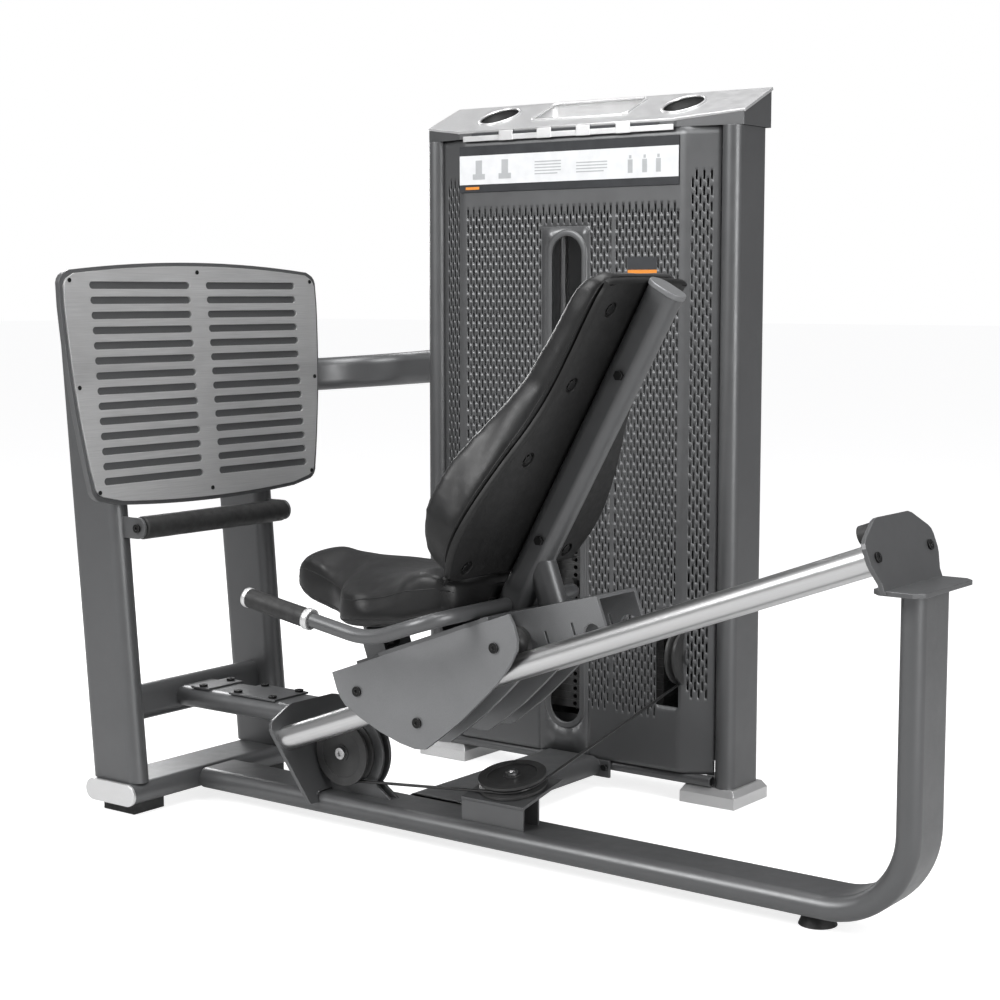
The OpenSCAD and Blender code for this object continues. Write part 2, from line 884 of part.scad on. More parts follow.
// Stem with a cross hole for every plate and a socket for the cable
module stack_stem() {
    foot = stack_z + 6;
    color(steel) in_place() difference() {
        translate([stack_x, stack_y, 0]) {
            translate([0, 0, foot]) cylinder(d = stem_d, h = head_z + head_h - foot);
            translate([0, 0, head_z + head_h]) cylinder(d = 36, h = 14);
            translate([0, 0, head_z + head_h + 14]) cylinder(d = 20, h = 20);
        }
        for (i = [0 : plate_count - 1])
            translate([stack_x, 0, stack_z + (i + 0.5) * plate_pitch - 0.15])
                rod_along_y(pin_d + 0.6, stack_y - 30, stack_y + 30);
    }
}

module selector_pin() {
    face = stack_y - plate_depth / 2;
    color("gold") in_place() translate([stack_x, 0, pin_z - 0.15]) {
        rod_along_y(pin_d, face, stack_y + 24);
        rod_along_y(16, face - 6, face);
        rod_along_y(26, face - 24, face - 6);
    }
}

// ---- Carriage ----

fan = [[169, 96], [624, 96], [628, 75], [627, 47], [618, 27], [590, 3],
    [550, -21], [506, -41], [447, -66], [389, -85], [345, -98], [322, -92],
    [289, -73], [248, -42], [208, -5], [179, 27], [172, 45], [169, 60]];

channel = concat([[169, 96], [576, 96], [576, 102], [769, 82], [769, 25],
    [748, -10], [569, -10]], [for (i = [6 : len(fan) - 1]) fan[i]]);

// Roller axle centres: station along the rods, height over their axes
axles = [[axle_front_s, axle_offset], [axle_mid_s, -axle_offset],
    [axle_rear_s, axle_offset]];

module axle_holes() {
    for (p = axles) translate([p[0], 0, p[1]])
        rod_along_y(axle_d + 2 * bolt_fit, -200, 200);
}

module carriage_side_plates() {
    color(plate_grey) in_place() on_rods() difference() {
        both_sides() slab_xz(fan_y, fan_t) polygon(fan);
        axle_holes();
    }
}

// Two inner plates, the sloping top web and the web that holds the cable
module carriage_channel() {
    color(plate_grey) in_place() on_rods() difference() {
        union() {
            both_sides() slab_xz(inner_y, fan_t) polygon(channel);
            slab_xz(-inner_y, 2 * inner_y)
                polygon([[576, 96], [576, 102], [769, 82], [769, 76]]);
            translate([anchor_s, -inner_y, -60]) cube([8, 2 * inner_y, 150]);
        }
        axle_holes();
        for (p = [[595, 25, 38], [737, 19, 38]]) translate([p[0], 0, p[1]])
            rod_along_y(p[2], -200, 200);
        for (s = [638, 700]) slab_xz(-100, 200) translate([s, 38]) square([5, 24], center = true);
    }
}

// Deck plate over the rollers, pin block, two seat risers and the seat board
module carriage_top() {
    board = [[505, 447], [690, 459], [745, 471], [745, 483], [690, 471], [520, 456],
        [470, 461], [470, 450]];
    riser_y = 60;
    color(graphite) in_place() {
        on_rods() for (part = [[200, 100, 100], [298, 278, fan_y + fan_t]])
            translate([part[0], -part[2], deck_w]) cube([part[1], 2 * part[2], deck_t]);
        on_rods() difference() {
            translate([pin_block_s, -96, deck_w + 2]) cube([52, 32, 40]);
            translate([0, pin_block_y, pin_block_w])
                rod_along_x(10 + 2 * bolt_fit, pin_block_s - 1, pin_block_s + 60);
        }
        slab_xz(-104, 208) polygon(board);
        difference() {
            on_rods() for (s = [206, 392]) translate([s, -riser_y, deck_w + 2])
                cube([8, 2 * riser_y, 130]);
            slab_xz(-riser_y - 1, 2 * riser_y + 2) polygon([[300, 480], [300, 459],
                [505, 452], [690, 464], [800, 485], [800, 700], [300, 700]]);
        }
    }
}

// Sprung pin in its block on the deck, pulled back by its knob
module range_pin() {
    color("tan") in_place() on_rods() translate([0, pin_block_y, pin_block_w]) {
        rod_along_x(10, pin_block_s - 6, pin_block_s + 54);
        rod_along_x(20, pin_block_s + 52.5, pin_block_s + 70);
    }
}

// Six axle bolts with round heads outside the side plates
module roller_axles() {
    color(steel) in_place() on_rods() both_sides() for (p = axles)
        translate([p[0], fan_y + fan_t, p[1]]) {
            rotate([-90, 0, 0]) socket_bolt(axle_d, fan_y + fan_t - inner_y + 8, 20, 4);
            translate([0, -fan_y - fan_t, 0]) rod_along_y(24, inner_y - 8, inner_y);
        }
}

// Pair of grooved rollers that hug the guide rods
module roller_pair(p) {
    half_w = 33;
    groove = rod_d / 2 + 0.3;
    in_place() on_rods() both_sides() translate([p[0], rod_y, p[1]])
        rotate([90, 0, 0]) rotate_extrude() difference() {
            translate([axle_d / 2 + 0.05, -half_w]) square([23.7, 2 * half_w]);
            translate([axle_offset, 0]) circle(r = groove);
        }
}

module front_rollers() {
    color("whitesmoke") roller_pair(axles[0]);
}

module middle_rollers() {
    color("whitesmoke") roller_pair(axles[1]);
}

module rear_rollers() {
    color("whitesmoke") roller_pair(axles[2]);
}

// Post behind the back rest with its end cap, and the brace behind it
module back_post() {
    mid = post_front - post_depth / 2;
    brace_s = 626;
    color(graphite) in_place() {
        difference() {
            on_back() translate([0, 0, mid]) {
                slab_yz(-90, post_len + 90) rotate(90) oval_tube(post_depth, post_width);
                slab_yz(post_len, 8) rotate(90) flat_oval(post_depth + 4, post_width + 4);
            }
            on_rods() translate([300, -100, -100])
                cube([400, 200, 100 + deck_w + deck_t]);
        }
        difference() {
            on_rods() translate([brace_s, 0, 60]) linear_extrude(200) oval_tube(58, 44);
            on_rods() slab_xz(-50, 100)
                polygon([[560, 0], [560, 103.66], [769, 82], [769, 0]]);
            on_back() translate([0, 0, mid]) slab_yz(-100, 900)
                rotate(90) flat_oval(post_depth - wall, post_width - wall);
            on_back() translate([-200, -60, mid]) cube([900, 120, 300]);
        }
    }
}

// Half widths of the back rest against the distance up the post
shell_edge = [[55, 182], [64, 202], [110, 222], [158, 229], [220, 218], [300, 190],
    [380, 155], [447, 138], [530, 133], [610, 133], [660, 128], [680, 108]];
pad_edge = [[46, 150], [56, 188], [80, 212], [112, 230], [158, 238], [225, 226],
    [300, 200], [380, 168], [447, 150], [530, 145], [610, 144], [666, 137], [688, 112]];
// Bolts in the back shell: distance up the post, distance from the middle
pad_bolts = [[84, 160], [315, 124.6], [470, 98], [623, 88]];

module mirrored_outline(edge) {
    polygon(concat([for (p = edge) [p[0], p[1]]],
        [for (i = [len(edge) - 1 : -1 : 0]) [edge[i][0], -edge[i][1]]]));
}

module back_shell() {
    color(rubber) in_place() on_back() difference() {
        translate([0, 0, post_front]) linear_extrude(shell_t) mirrored_outline(shell_edge);
        both_sides() for (p = pad_bolts) translate([p[0], p[1], post_front - 1]) {
            cylinder(d = 30, h = 7);
            cylinder(d = 8 + 2 * bolt_fit, h = 20);
        }
    }
}

module back_pad() {
    base = post_front + shell_t;
    color(leather) in_place() on_back() intersection() {
        translate([0, 0, base]) linear_extrude(120) mirrored_outline(pad_edge);
        slab_xz(-300, 600) polygon([[40, base], [44, 62], [58, 84], [90, 94], [171, 114],
            [256, 116], [357, 100], [478, 84], [569, 76], [650, 70], [688, 54], [690, base]]);
    }
}

// Bolts of the back rest, the post and the handles' end caps
module carriage_bolts() {
    color(steel) in_place() on_back() {
        both_sides() for (p = pad_bolts) translate([p[0], p[1], post_front]) {
            translate([0, 0, 1]) cylinder(d = 20, h = 5, $fn = 6);
            translate([0, 0, 6]) cylinder(d = 8, h = 6);
        }
        both_sides() for (t = [153.4, 509.5])
            translate([t, -post_width / 2, -25]) rotate([90, 0, 0])
                cylinder(d = 19, h = 8, $fn = 6);
    }
}

// Plan of the seat: half widths along X, with a narrow nose between the knees
seat_plan = [[300, 44], [308, 60], [340, 72], [380, 78], [430, 88], [470, 112],
    [500, 150], [522, 174], [560, seat_half], [700, seat_half], [770, 176], [795, 150]];

module seat_pad() {
    board_top = [[200, 465], [430, 465], [520, 456], [690, 471], [745, 483], [796, 494],
        [900, 494], [900, 300], [200, 300]];
    color(leather) in_place() difference() {
        intersection() {
            translate([0, 0, 400]) linear_extrude(200) mirrored_outline(seat_plan);
            slab_xz(-300, 600) polygon([[298, 502], [304, 540], [330, 564], [366, 571],
                [450, 558], [560, 552], [650, 556], [720, 570], [745, 572], [775, 560],
                [796, 548], [796, 492], [745, 474], [690, 460], [610, 447], [540, 441],
                [430, 448], [355, 462], [315, 478]]);
        }
        slab_xz(-106, 212) intersection() {
            polygon(board_top);
            translate([464, 0]) square([500, 600]);
        }
        on_back() translate([-200, -36, -300]) cube([900, 72, 300 + post_front + 1]);
    }
}

// Centre line of the near bar: out from the post, forward and down, then up
handle_out_y = -post_width / 2 - handle_out;
function handle_turn(a) = [
    handle_x - handle_bend * (1 - cos(a)) * cos(handle_drop),
    handle_out_y - handle_bend * sin(a),
    handle_z - handle_bend * (1 - cos(a)) * sin(handle_drop)];
handle_down = [-cos(handle_drop), 0, -sin(handle_drop)];
handle_up = [-cos(handle_rise), 0, sin(handle_rise)];
knee_at = handle_turn(90) + handle_mid * handle_down;
knee_cut = handle_knee * tan((handle_drop + handle_rise) / 2);
function handle_knee_point(a) = knee_at - knee_cut * handle_down
    + handle_knee * (sin(a) * handle_down
    + (1 - cos(a)) * [-sin(handle_drop), 0, cos(handle_drop)]);
handle_end = knee_at + handle_last * handle_up;
handle_route = concat(
    [[handle_x, -post_width / 2, handle_z], [handle_x, handle_out_y, handle_z]],
    [for (i = [1 : 7]) handle_turn(90 * i / 7)],
    [for (i = [0 : 4]) handle_knee_point((handle_drop + handle_rise) * i / 4)],
    [handle_end]);

// Bent bars that start on the post's sides and run forward beside the seat
module handle_bars() {
    color(plate_grey) in_place() both_sides()
        swept_tube(handle_route, handle_d / 2, 20, [0, 0, 1]);
}

// Frame at the front end of each bar, with +Z along it
module at_handle_end() {
    translate(handle_end) rotate([0, handle_rise - 90, 0]) children();
}

// Rubber sleeves with a collar at the back and a cap over the bar's end
module handle_grips() {
    color(rubber) in_place() both_sides() at_handle_end() difference() {
        union() {
            translate([0, 0, -grip_len]) cylinder(d = grip_d, h = grip_len + 3);
            translate([0, 0, -grip_len - 14]) cylinder(d = grip_d + 4, h = 14);
            translate([0, 0, 3]) cylinder(d = grip_d + 2, h = 6);
        }
        translate([0, 0, -grip_len - 20]) cylinder(d = handle_d, h = grip_len + 20);
    }
}

cross_foot();
foot_end_caps();
rubber_feet();
main_beam();
uprights();
mid_crossbeam();
rail_tube();
rail_plates();
front_bracket();
rear_bracket();
guide_rods();
rubber_stops();
footplate_back();
footplate_tread();
foam_roller();
foam_roller_bar();
upper_arm();
lateral_beam();
frame_bolts();
front_pulley_cheeks();
front_pulley();
corner_pulley_mount();
corner_pulley();
lower_pulley_bracket();
lower_pulley();
top_pulley_beam();
top_pulley_outer();
top_pulley_inner();
pulley_bolts();
fixed_cable();
carriage_cable();
stack_cable();
cabinet_columns();
cabinet_shoes();
cabinet_cross_tubes();
front_panel();
rear_panel();
placard();
top_tray();
stack_guide_rods();
resting_plates();
lifted_plates();
stack_head();
stack_stem();
selector_pin();
carriage_side_plates();
carriage_channel();
carriage_top();
roller_axles();
front_rollers();
middle_rollers();
rear_rollers();
back_post();
back_shell();
back_pad();
carriage_bolts();
range_pin();
seat_pad();
handle_bars();
handle_grips();
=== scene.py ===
"""Looks of the seated leg press.

Gives every CAD node its finish, and replaces the plain cushions, cover, roller,
handles, cables, front panel, placard and tray by detailed pieces.
"""

import json
import math

import bmesh
import bpy
import numpy as np
from mathutils import Matrix, Vector
from mathutils.bvhtree import BVHTree


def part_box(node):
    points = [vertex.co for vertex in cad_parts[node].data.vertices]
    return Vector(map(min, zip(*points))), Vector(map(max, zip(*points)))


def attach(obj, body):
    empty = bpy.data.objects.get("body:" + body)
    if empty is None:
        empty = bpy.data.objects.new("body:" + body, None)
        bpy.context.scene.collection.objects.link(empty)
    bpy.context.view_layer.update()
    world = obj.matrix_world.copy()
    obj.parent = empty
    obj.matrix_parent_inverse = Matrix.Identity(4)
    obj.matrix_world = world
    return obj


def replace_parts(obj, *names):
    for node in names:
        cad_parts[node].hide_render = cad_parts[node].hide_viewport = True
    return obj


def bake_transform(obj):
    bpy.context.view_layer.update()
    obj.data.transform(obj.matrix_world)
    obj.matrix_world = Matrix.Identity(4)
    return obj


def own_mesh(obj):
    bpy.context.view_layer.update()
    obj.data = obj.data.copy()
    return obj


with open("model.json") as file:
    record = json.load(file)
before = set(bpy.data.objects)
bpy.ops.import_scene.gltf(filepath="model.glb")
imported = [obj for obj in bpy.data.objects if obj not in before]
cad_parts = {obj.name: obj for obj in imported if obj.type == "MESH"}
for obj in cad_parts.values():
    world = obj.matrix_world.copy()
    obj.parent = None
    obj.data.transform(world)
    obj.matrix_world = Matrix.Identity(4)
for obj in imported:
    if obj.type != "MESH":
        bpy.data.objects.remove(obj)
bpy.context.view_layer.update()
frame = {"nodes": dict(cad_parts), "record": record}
scene = bpy.context.scene

# Layout of the part in millimetres, moved as the part's own layout is
LAYOUT = Vector((-0.7421, -0.15775, 0))


def at(x, y, z):
    """A point of the layout, in metres."""
    return LAYOUT + Vector((x, y, z)) / 1000


def leaning(x, y, z, angle, axis="Y"):
    """Frame at a point of the layout, turned about an axis."""
    return Matrix.Translation(at(x, y, z)) @ Matrix.Rotation(math.radians(angle), 4, axis)


ROD_SLOPE = 20.2
RODS = leaning(351.2, 0, 197.2, -ROD_SLOPE)
BACK = leaning(793, 0, 503, -60.7)


def mm(frame_matrix, x, y, z):
    """A point in a leaning frame, given in millimetres."""
    return frame_matrix @ (Vector((x, y, z)) / 1000)


# ---- Materials ----

class Finish:
    """A procedural material, built from small steps on the piece's own coordinates."""

    def __init__(self, name, **sockets):
        self.material = bpy.data.materials.new(name)
        self.material.use_nodes = True
        self.tree = self.material.node_tree
        self.shader = self.tree.nodes["Principled BSDF"]
        self.set(**sockets)
        self.place = self.node("ShaderNodeTexCoord").outputs["Object"]

    def set(self, **sockets):
        for key, value in sockets.items():
            name = key.replace("_", " ").title().replace("Ior", "IOR")
            self.shader.inputs[name].default_value = value

    def node(self, kind, inputs=None, **attributes):
        n = self.tree.nodes.new(kind)
        for key, value in attributes.items():
            setattr(n, key, value)
        for key, value in (inputs or {}).items():
            if isinstance(value, bpy.types.NodeSocket):
                self.tree.links.new(value, n.inputs[key])
            else:
                n.inputs[key].default_value = value
        return n

    def link(self, output, name):
        self.tree.links.new(output, self.shader.inputs[name])

    def stretched(self, scale):
        return self.node("ShaderNodeMapping", {"Vector": self.place, "Scale": scale}).outputs[0]

    def noise(self, scale, detail=3, rough=0.5, stretch=None):
        where = self.stretched(stretch) if stretch else self.place
        return self.node("ShaderNodeTexNoise", {"Vector": where, "Scale": scale,
                         "Detail": detail, "Roughness": rough}).outputs["Fac"]

    def cells(self, scale, feature="F1", stretch=None):
        where = self.stretched(stretch) if stretch else self.place
        return self.node("ShaderNodeTexVoronoi", {"Vector": where, "Scale": scale},
                         feature=feature).outputs["Distance"]

    def remap(self, value, a, b, c, d):
        return self.node("ShaderNodeMapRange", {"Value": value, "From Min": a, "From Max": b,
                         "To Min": c, "To Max": d}).outputs["Result"]

    def mix(self, fac, a, b, blend="MIX"):
        n = self.node("ShaderNodeMix", data_type="RGBA", blend_type=blend)
        for index, value in ((0, fac), (6, a), (7, b)):
            if isinstance(value, bpy.types.NodeSocket):
                self.tree.links.new(value, n.inputs[index])
            else:
                n.inputs[index].default_value = value
        return n.outputs[2]

    def maths(self, operation, a, b):
        return self.node("ShaderNodeMath", {0: a, 1: b}, operation=operation).outputs[0]

    def edges(self, radius):
        """(rounded normal, mask of the sharp edges)"""
        soft = self.node("ShaderNodeBevel", {"Radius": radius}, samples=6).outputs["Normal"]
        flat = self.node("ShaderNodeNewGeometry").outputs["Normal"]
        dot = self.node("ShaderNodeVectorMath", {0: soft, 1: flat}, operation="DOT_PRODUCT")
        return soft, self.remap(dot.outputs["Value"], 0.985, 0.86, 0, 1)

    def bump(self, height, distance, strength=1.0, normal=None):
        inputs = {"Height": height, "Distance": distance, "Strength": strength}
        if normal is not None:
            inputs["Normal"] = normal
        n = self.node("ShaderNodeBump", inputs)
        self.link(n.outputs["Normal"], "Normal")
        return n.outputs["Normal"]


def grey(v, tint=(1, 1, 1)):
    return (v * tint[0], v * tint[1], v * tint[2], 1)


def painted(name, value, metallic, rough, wear, tint=(0.985, 1, 1.02)):
    """Satin metallic powder coat: fine flake, orange peel, dust and lighter worn edges."""
    f = Finish(name, metallic=metallic, coat_weight=0.18, coat_roughness=0.3, specular_ior_level=0.55)
    soft, edge = f.edges(0.0018)
    flake = f.noise(2600, 2, 0.7)
    patch = f.noise(7, 4, 0.55)
    base = f.mix(f.remap(flake, 0.3, 0.7, 0, 1), grey(value * 0.8, tint), grey(value * 1.24, tint))
    base = f.mix(f.remap(patch, 0.35, 0.75, 0, 0.35), base, grey(value * 0.72, tint))
    scuff = f.maths("MULTIPLY", edge, f.remap(f.noise(60, 5, 0.6), 0.35, 0.62, 0.15, 1))
    base = f.mix(f.maths("MULTIPLY", scuff, wear), base, grey(min(0.6, value * 3.2), tint))
    f.link(base, "Base Color")
    f.link(f.remap(f.noise(34, 4, 0.6), 0.3, 0.75, rough - 0.04, rough + 0.07), "Roughness")
    f.bump(f.noise(900, 2, 0.5), 0.00012, 0.35, soft)
    return f.material


def chrome():
    """Satin chrome with fine lines along the rods."""
    f = Finish("rod_chrome", metallic=1.0)
    level = f.node("ShaderNodeMapping", {"Vector": f.place,
                   "Rotation": (0, math.radians(ROD_SLOPE), 0)}).outputs[0]
    along = f.node("ShaderNodeMapping", {"Vector": level, "Scale": (0.004, 1, 1)}).outputs[0]
    hair = f.node("ShaderNodeTexNoise", {"Vector": along, "Scale": 300, "Detail": 2}).outputs["Fac"]
    f.link(f.mix(f.remap(hair, 0.3, 0.7, 0, 1), grey(0.6), grey(0.64)), "Base Color")
    f.link(f.remap(hair, 0.3, 0.75, 0.3, 0.33), "Roughness")
    f.bump(hair, 0.000002, 0.05)
    return f.material


def zinc():
    f = Finish("bolt_steel", metallic=1.0)
    soft = f.edges(0.0008)[0]
    f.link(f.mix(f.remap(f.noise(220, 4), 0.3, 0.7, 0, 1), grey(0.5), grey(0.68)), "Base Color")
    f.link(f.remap(f.noise(500, 3), 0.3, 0.7, 0.24, 0.42), "Roughness")
    f.bump(f.noise(1500, 2), 0.00004, 0.4, soft)
    return f.material


def black_oxide():
    f = Finish("bolt_black", metallic=0.8)
    soft, edge = f.edges(0.0008)
    f.link(f.mix(f.maths("MULTIPLY", edge, 0.6), grey(0.022), grey(0.22)), "Base Color")
    f.link(f.remap(f.noise(400, 3), 0.3, 0.7, 0.3, 0.5), "Roughness")
    f.bump(f.noise(1300, 2), 0.00004, 0.5, soft)
    return f.material


def silver():
    """Silver paint on cast aluminium, with a faint pebble."""
    f = Finish("cast_silver", metallic=0.75, coat_weight=0.12, coat_roughness=0.25)
    soft, edge = f.edges(0.0022)
    base = f.mix(f.remap(f.noise(2200, 2, 0.7), 0.3, 0.7, 0, 1), grey(0.62), grey(0.8))
    f.link(f.mix(f.maths("MULTIPLY", edge, 0.35), base, grey(0.88)), "Base Color")
    f.link(f.remap(f.noise(45, 4), 0.3, 0.75, 0.3, 0.42), "Roughness")
    f.bump(f.noise(650, 2), 0.0001, 0.3, soft)
    return f.material


def brushed():
    """Brushed aluminium: fine lines across the plate and soft wear in broad darker patches."""
    f = Finish("tread_plate", metallic=0.78, anisotropic=0.4)
    line = f.noise(900, 4, 0.75, (1, 0.012, 1))
    broad = f.noise(5, 3, 0.5)
    base = f.mix(f.remap(line, 0.3, 0.7, 0, 1), grey(0.58), grey(0.76))
    base = f.mix(f.remap(broad, 0.3, 0.7, 0, 0.3), base, grey(0.5))
    f.link(base, "Base Color")
    f.link(f.remap(line, 0.3, 0.7, 0.3, 0.46), "Roughness")
    f.bump(line, 0.00006, 0.4, f.edges(0.0012)[0])
    return f.material


def leather(name="pad_leather", value=0.009):
    """Soft grained vinyl: pebble, fine creases darkened with painted shade, and a painted sheen in broad
    lighter, faintly blue patches over an even shader sheen.
    """
    f = Finish(name, sheen_weight=0.04, sheen_roughness=0.4, coat_weight=0.03, coat_roughness=0.36,
               specular_ior_level=0.36)
    pebble = f.cells(620, "SMOOTH_F1")
    crease = f.cells(330, "DISTANCE_TO_EDGE")
    broad = f.noise(9, 4, 0.6)
    # Painted sheen: broad patches of the colour made lighter and faintly blue
    base = f.mix(f.remap(broad, 0.3, 0.7, 0, 1), grey(value * 0.8), grey(value * 1.35, (1, 1, 1.03)))
    # Painted shade: the colour darkens along the creases
    base = f.mix(f.remap(crease, 0.0, 0.06, 0.55, 0), base, grey(value * 0.4))
    f.link(base, "Base Color")
    f.link(f.remap(f.noise(28, 5, 0.6), 0.3, 0.75, 0.36, 0.5), "Roughness")
    height = f.maths("ADD", f.maths("MULTIPLY", pebble, 0.8),
                     f.maths("MULTIPLY", f.remap(crease, 0, 0.09, 0, 1), 0.35))
    wrinkle = f.maths("MULTIPLY", f.noise(14, 3, 0.5), 0.5)
    f.bump(f.maths("ADD", height, wrinkle), 0.00024, 0.36)
    return f.material


def rubber():
    f = Finish("black_rubber", specular_ior_level=0.4)
    base = f.mix(f.remap(f.noise(60, 4), 0.3, 0.7, 0, 1), grey(0.014), grey(0.028))
    f.link(base, "Base Color")
    f.link(f.remap(f.noise(90, 4), 0.3, 0.7, 0.46, 0.62), "Roughness")
    f.bump(f.maths("ADD", f.cells(1100, "SMOOTH_F1"), f.noise(1800, 2)), 0.00018, 0.5)
    return f.material


def plastic(name, value, rough, grain, tint=(1, 1, 1)):
    """Moulded plastic with a fine spark-eroded texture."""
    f = Finish(name, specular_ior_level=0.32)
    soft, edge = f.edges(0.001)
    base = f.mix(f.remap(f.noise(30, 4), 0.3, 0.7, 0, 1), grey(value * 0.85, tint), grey(value * 1.18, tint))
    f.link(f.mix(f.maths("MULTIPLY", edge, 0.25), base, grey(min(0.7, value * 2.6), tint)), "Base Color")
    f.link(f.remap(f.noise(70, 4), 0.3, 0.7, rough - 0.05, rough + 0.08), "Roughness")
    f.bump(f.noise(grain, 3, 0.6), 0.00012, 0.45, soft)
    return f.material


def iron():
    f = Finish("iron_plates", metallic=0.3, specular_ior_level=0.4)
    soft, edge = f.edges(0.0012)
    base = f.mix(f.remap(f.noise(50, 5, 0.6), 0.3, 0.7, 0, 1), grey(0.035), grey(0.07))
    f.link(f.mix(f.maths("MULTIPLY", edge, 0.5), base, grey(0.2)), "Base Color")
    f.link(f.remap(f.noise(120, 4), 0.3, 0.7, 0.4, 0.6), "Roughness")
    f.bump(f.noise(420, 4, 0.7), 0.0003, 0.4, soft)
    return f.material


def jacket():
    f = Finish("cable_jacket", coat_weight=0.3, coat_roughness=0.2, specular_ior_level=0.5)
    f.link(f.mix(f.noise(90, 3), grey(0.008), grey(0.02)), "Base Color")
    f.link(f.remap(f.noise(300, 3), 0.3, 0.7, 0.28, 0.42), "Roughness")
    f.bump(f.noise(900, 3), 0.00008, 0.35)
    return f.material


def printed(name, colour, rough=0.42):
    """Printed plastic card or label: even ink with a faint paper grain."""
    f = Finish(name, specular_ior_level=0.45, coat_weight=0.15, coat_roughness=0.2)
    dim = tuple(c * 0.9 for c in colour[:3]) + (1,)
    f.link(f.mix(f.remap(f.noise(45, 4), 0.3, 0.75, 0, 1), colour, dim), "Base Color")
    f.link(f.remap(f.noise(200, 3), 0.3, 0.7, rough - 0.05, rough + 0.06), "Roughness")
    f.bump(f.noise(1400, 2), 0.00003, 0.3)
    return f.material


FINISH = {
    "frame_paint": painted("frame_paint", 0.115, 0.5, 0.38, 0.3),
    "plate_paint": painted("plate_paint", 0.2, 0.45, 0.42, 0.3),
    "rod_chrome": chrome(),
    "bolt_steel": zinc(),
    "bolt_black": black_oxide(),
    "cast_silver": silver(),
    "tread_plate": brushed(),
    "pad_leather": leather(),
    "black_rubber": rubber(),
    "shell_plastic": plastic("shell_plastic", 0.011, 0.48, 1300),
    "roller_plastic": plastic("roller_plastic", 0.03, 0.4, 700),
    "pulley_plastic": plastic("pulley_plastic", 0.045, 0.36, 800),
    "iron_plates": iron(),
    "placard_face": plastic("placard_face", 0.03, 0.4, 900, (0.95, 1, 1.1)),
    "cable_jacket": jacket(),
    "pin_knob": plastic("pin_knob", 0.02, 0.3, 600),
}
PAPER = printed("print_white", (0.72, 0.73, 0.74, 1))
INK = printed("print_dark", (0.03, 0.032, 0.036, 1))
PALE_INK = printed("print_grey", (0.42, 0.43, 0.44, 1))
ORANGE = printed("print_orange", (0.75, 0.26, 0.03, 1))

slots = {row["node"]: row["material_slot"] for row in frame["record"]["subparts"]}
for name, node in frame["nodes"].items():
    node.data.materials.clear()
    node.data.materials.append(FINISH[slots[name]])


# ---- Making pieces ----

def piece(name, points, faces, body, slot, material=None, smooth=True):
    """A mesh that rides on a body and has its finish."""
    mesh = bpy.data.meshes.new(name)
    mesh.from_pydata([tuple(p) for p in points], [], faces)
    work = bmesh.new()
    work.from_mesh(mesh)
    bmesh.ops.recalc_face_normals(work, faces=work.faces)
    work.to_mesh(mesh)
    work.free()
    return dress(bpy.data.objects.new(name, mesh), body, slot, material, smooth)


def dress(obj, body, slot, material=None, smooth=True):
    if obj.name not in scene.collection.objects:
        scene.collection.objects.link(obj)
    obj.data.materials.clear()
    obj.data.materials.append(material or FINISH[slot])
    for face in obj.data.polygons:
        face.use_smooth = bool(smooth)
    if smooth is not True and smooth:
        obj.data.set_sharp_from_angle(angle=math.radians(smooth))
    if body:
        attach(obj, body)
    return obj


def rounded(obj, width, segments=2, angle=35):
    m = obj.modifiers.new("edge", "BEVEL")
    m.width, m.segments, m.limit_method, m.angle_limit = width, segments, "ANGLE", math.radians(angle)
    m.harden_normals = True
    return obj


def curve_through(points, per=6, closed=False):
    """Catmull-Rom curve through the points."""
    p = [Vector(q) for q in points]
    n = len(p)
    out = []
    for i in range(n if closed else n - 1):
        a, b, c, d = (p[(i + k) % n] if closed else p[min(max(i + k, 0), n - 1)] for k in (-1, 0, 1, 2))
        for j in range(per):
            t = j / per
            out.append(0.5 * (2 * b + (c - a) * t + (2 * a - 5 * b + 4 * c - d) * t * t
                              + (3 * b - a - 3 * c + d) * t ** 3))
    if not closed:
        out.append(p[-1])
    return out


def tube_mesh(points, radius, sides=24, closed=False, up=None):
    """Points and faces of a round tube along a route."""
    p = [Vector(q) for q in points]
    n = len(p)

    def heading(i):
        a = p[(i - 1) % n] if closed else p[max(i - 1, 0)]
        b = p[(i + 1) % n] if closed else p[min(i + 1, n - 1)]
        return (b - a).normalized()

    first = heading(0)
    u = up or first.orthogonal().normalized()
    rings = []
    for i in range(n):
        h = heading(i)
        u = (u - h * u.dot(h)).normalized()
        v = h.cross(u)
        rings += [p[i] + u * (radius * math.cos(a)) + v * (radius * math.sin(a))
                  for a in (2 * math.pi * k / sides for k in range(sides))]
    faces = []
    for i in range(n if closed else n - 1):
        for k in range(sides):
            j = (i + 1) % n
            faces.append((i * sides + k, i * sides + (k + 1) % sides,
                          j * sides + (k + 1) % sides, j * sides + k))
    if not closed:
        faces.append(tuple(range(sides))[::-1])
        faces.append(tuple((n - 1) * sides + k for k in range(sides)))
    return rings, faces


def tube(name, points, radius, body, slot, material=None, **more):
    verts, faces = tube_mesh(points, radius, **more)
    return piece(name, verts, faces, body, slot, material, smooth=50)


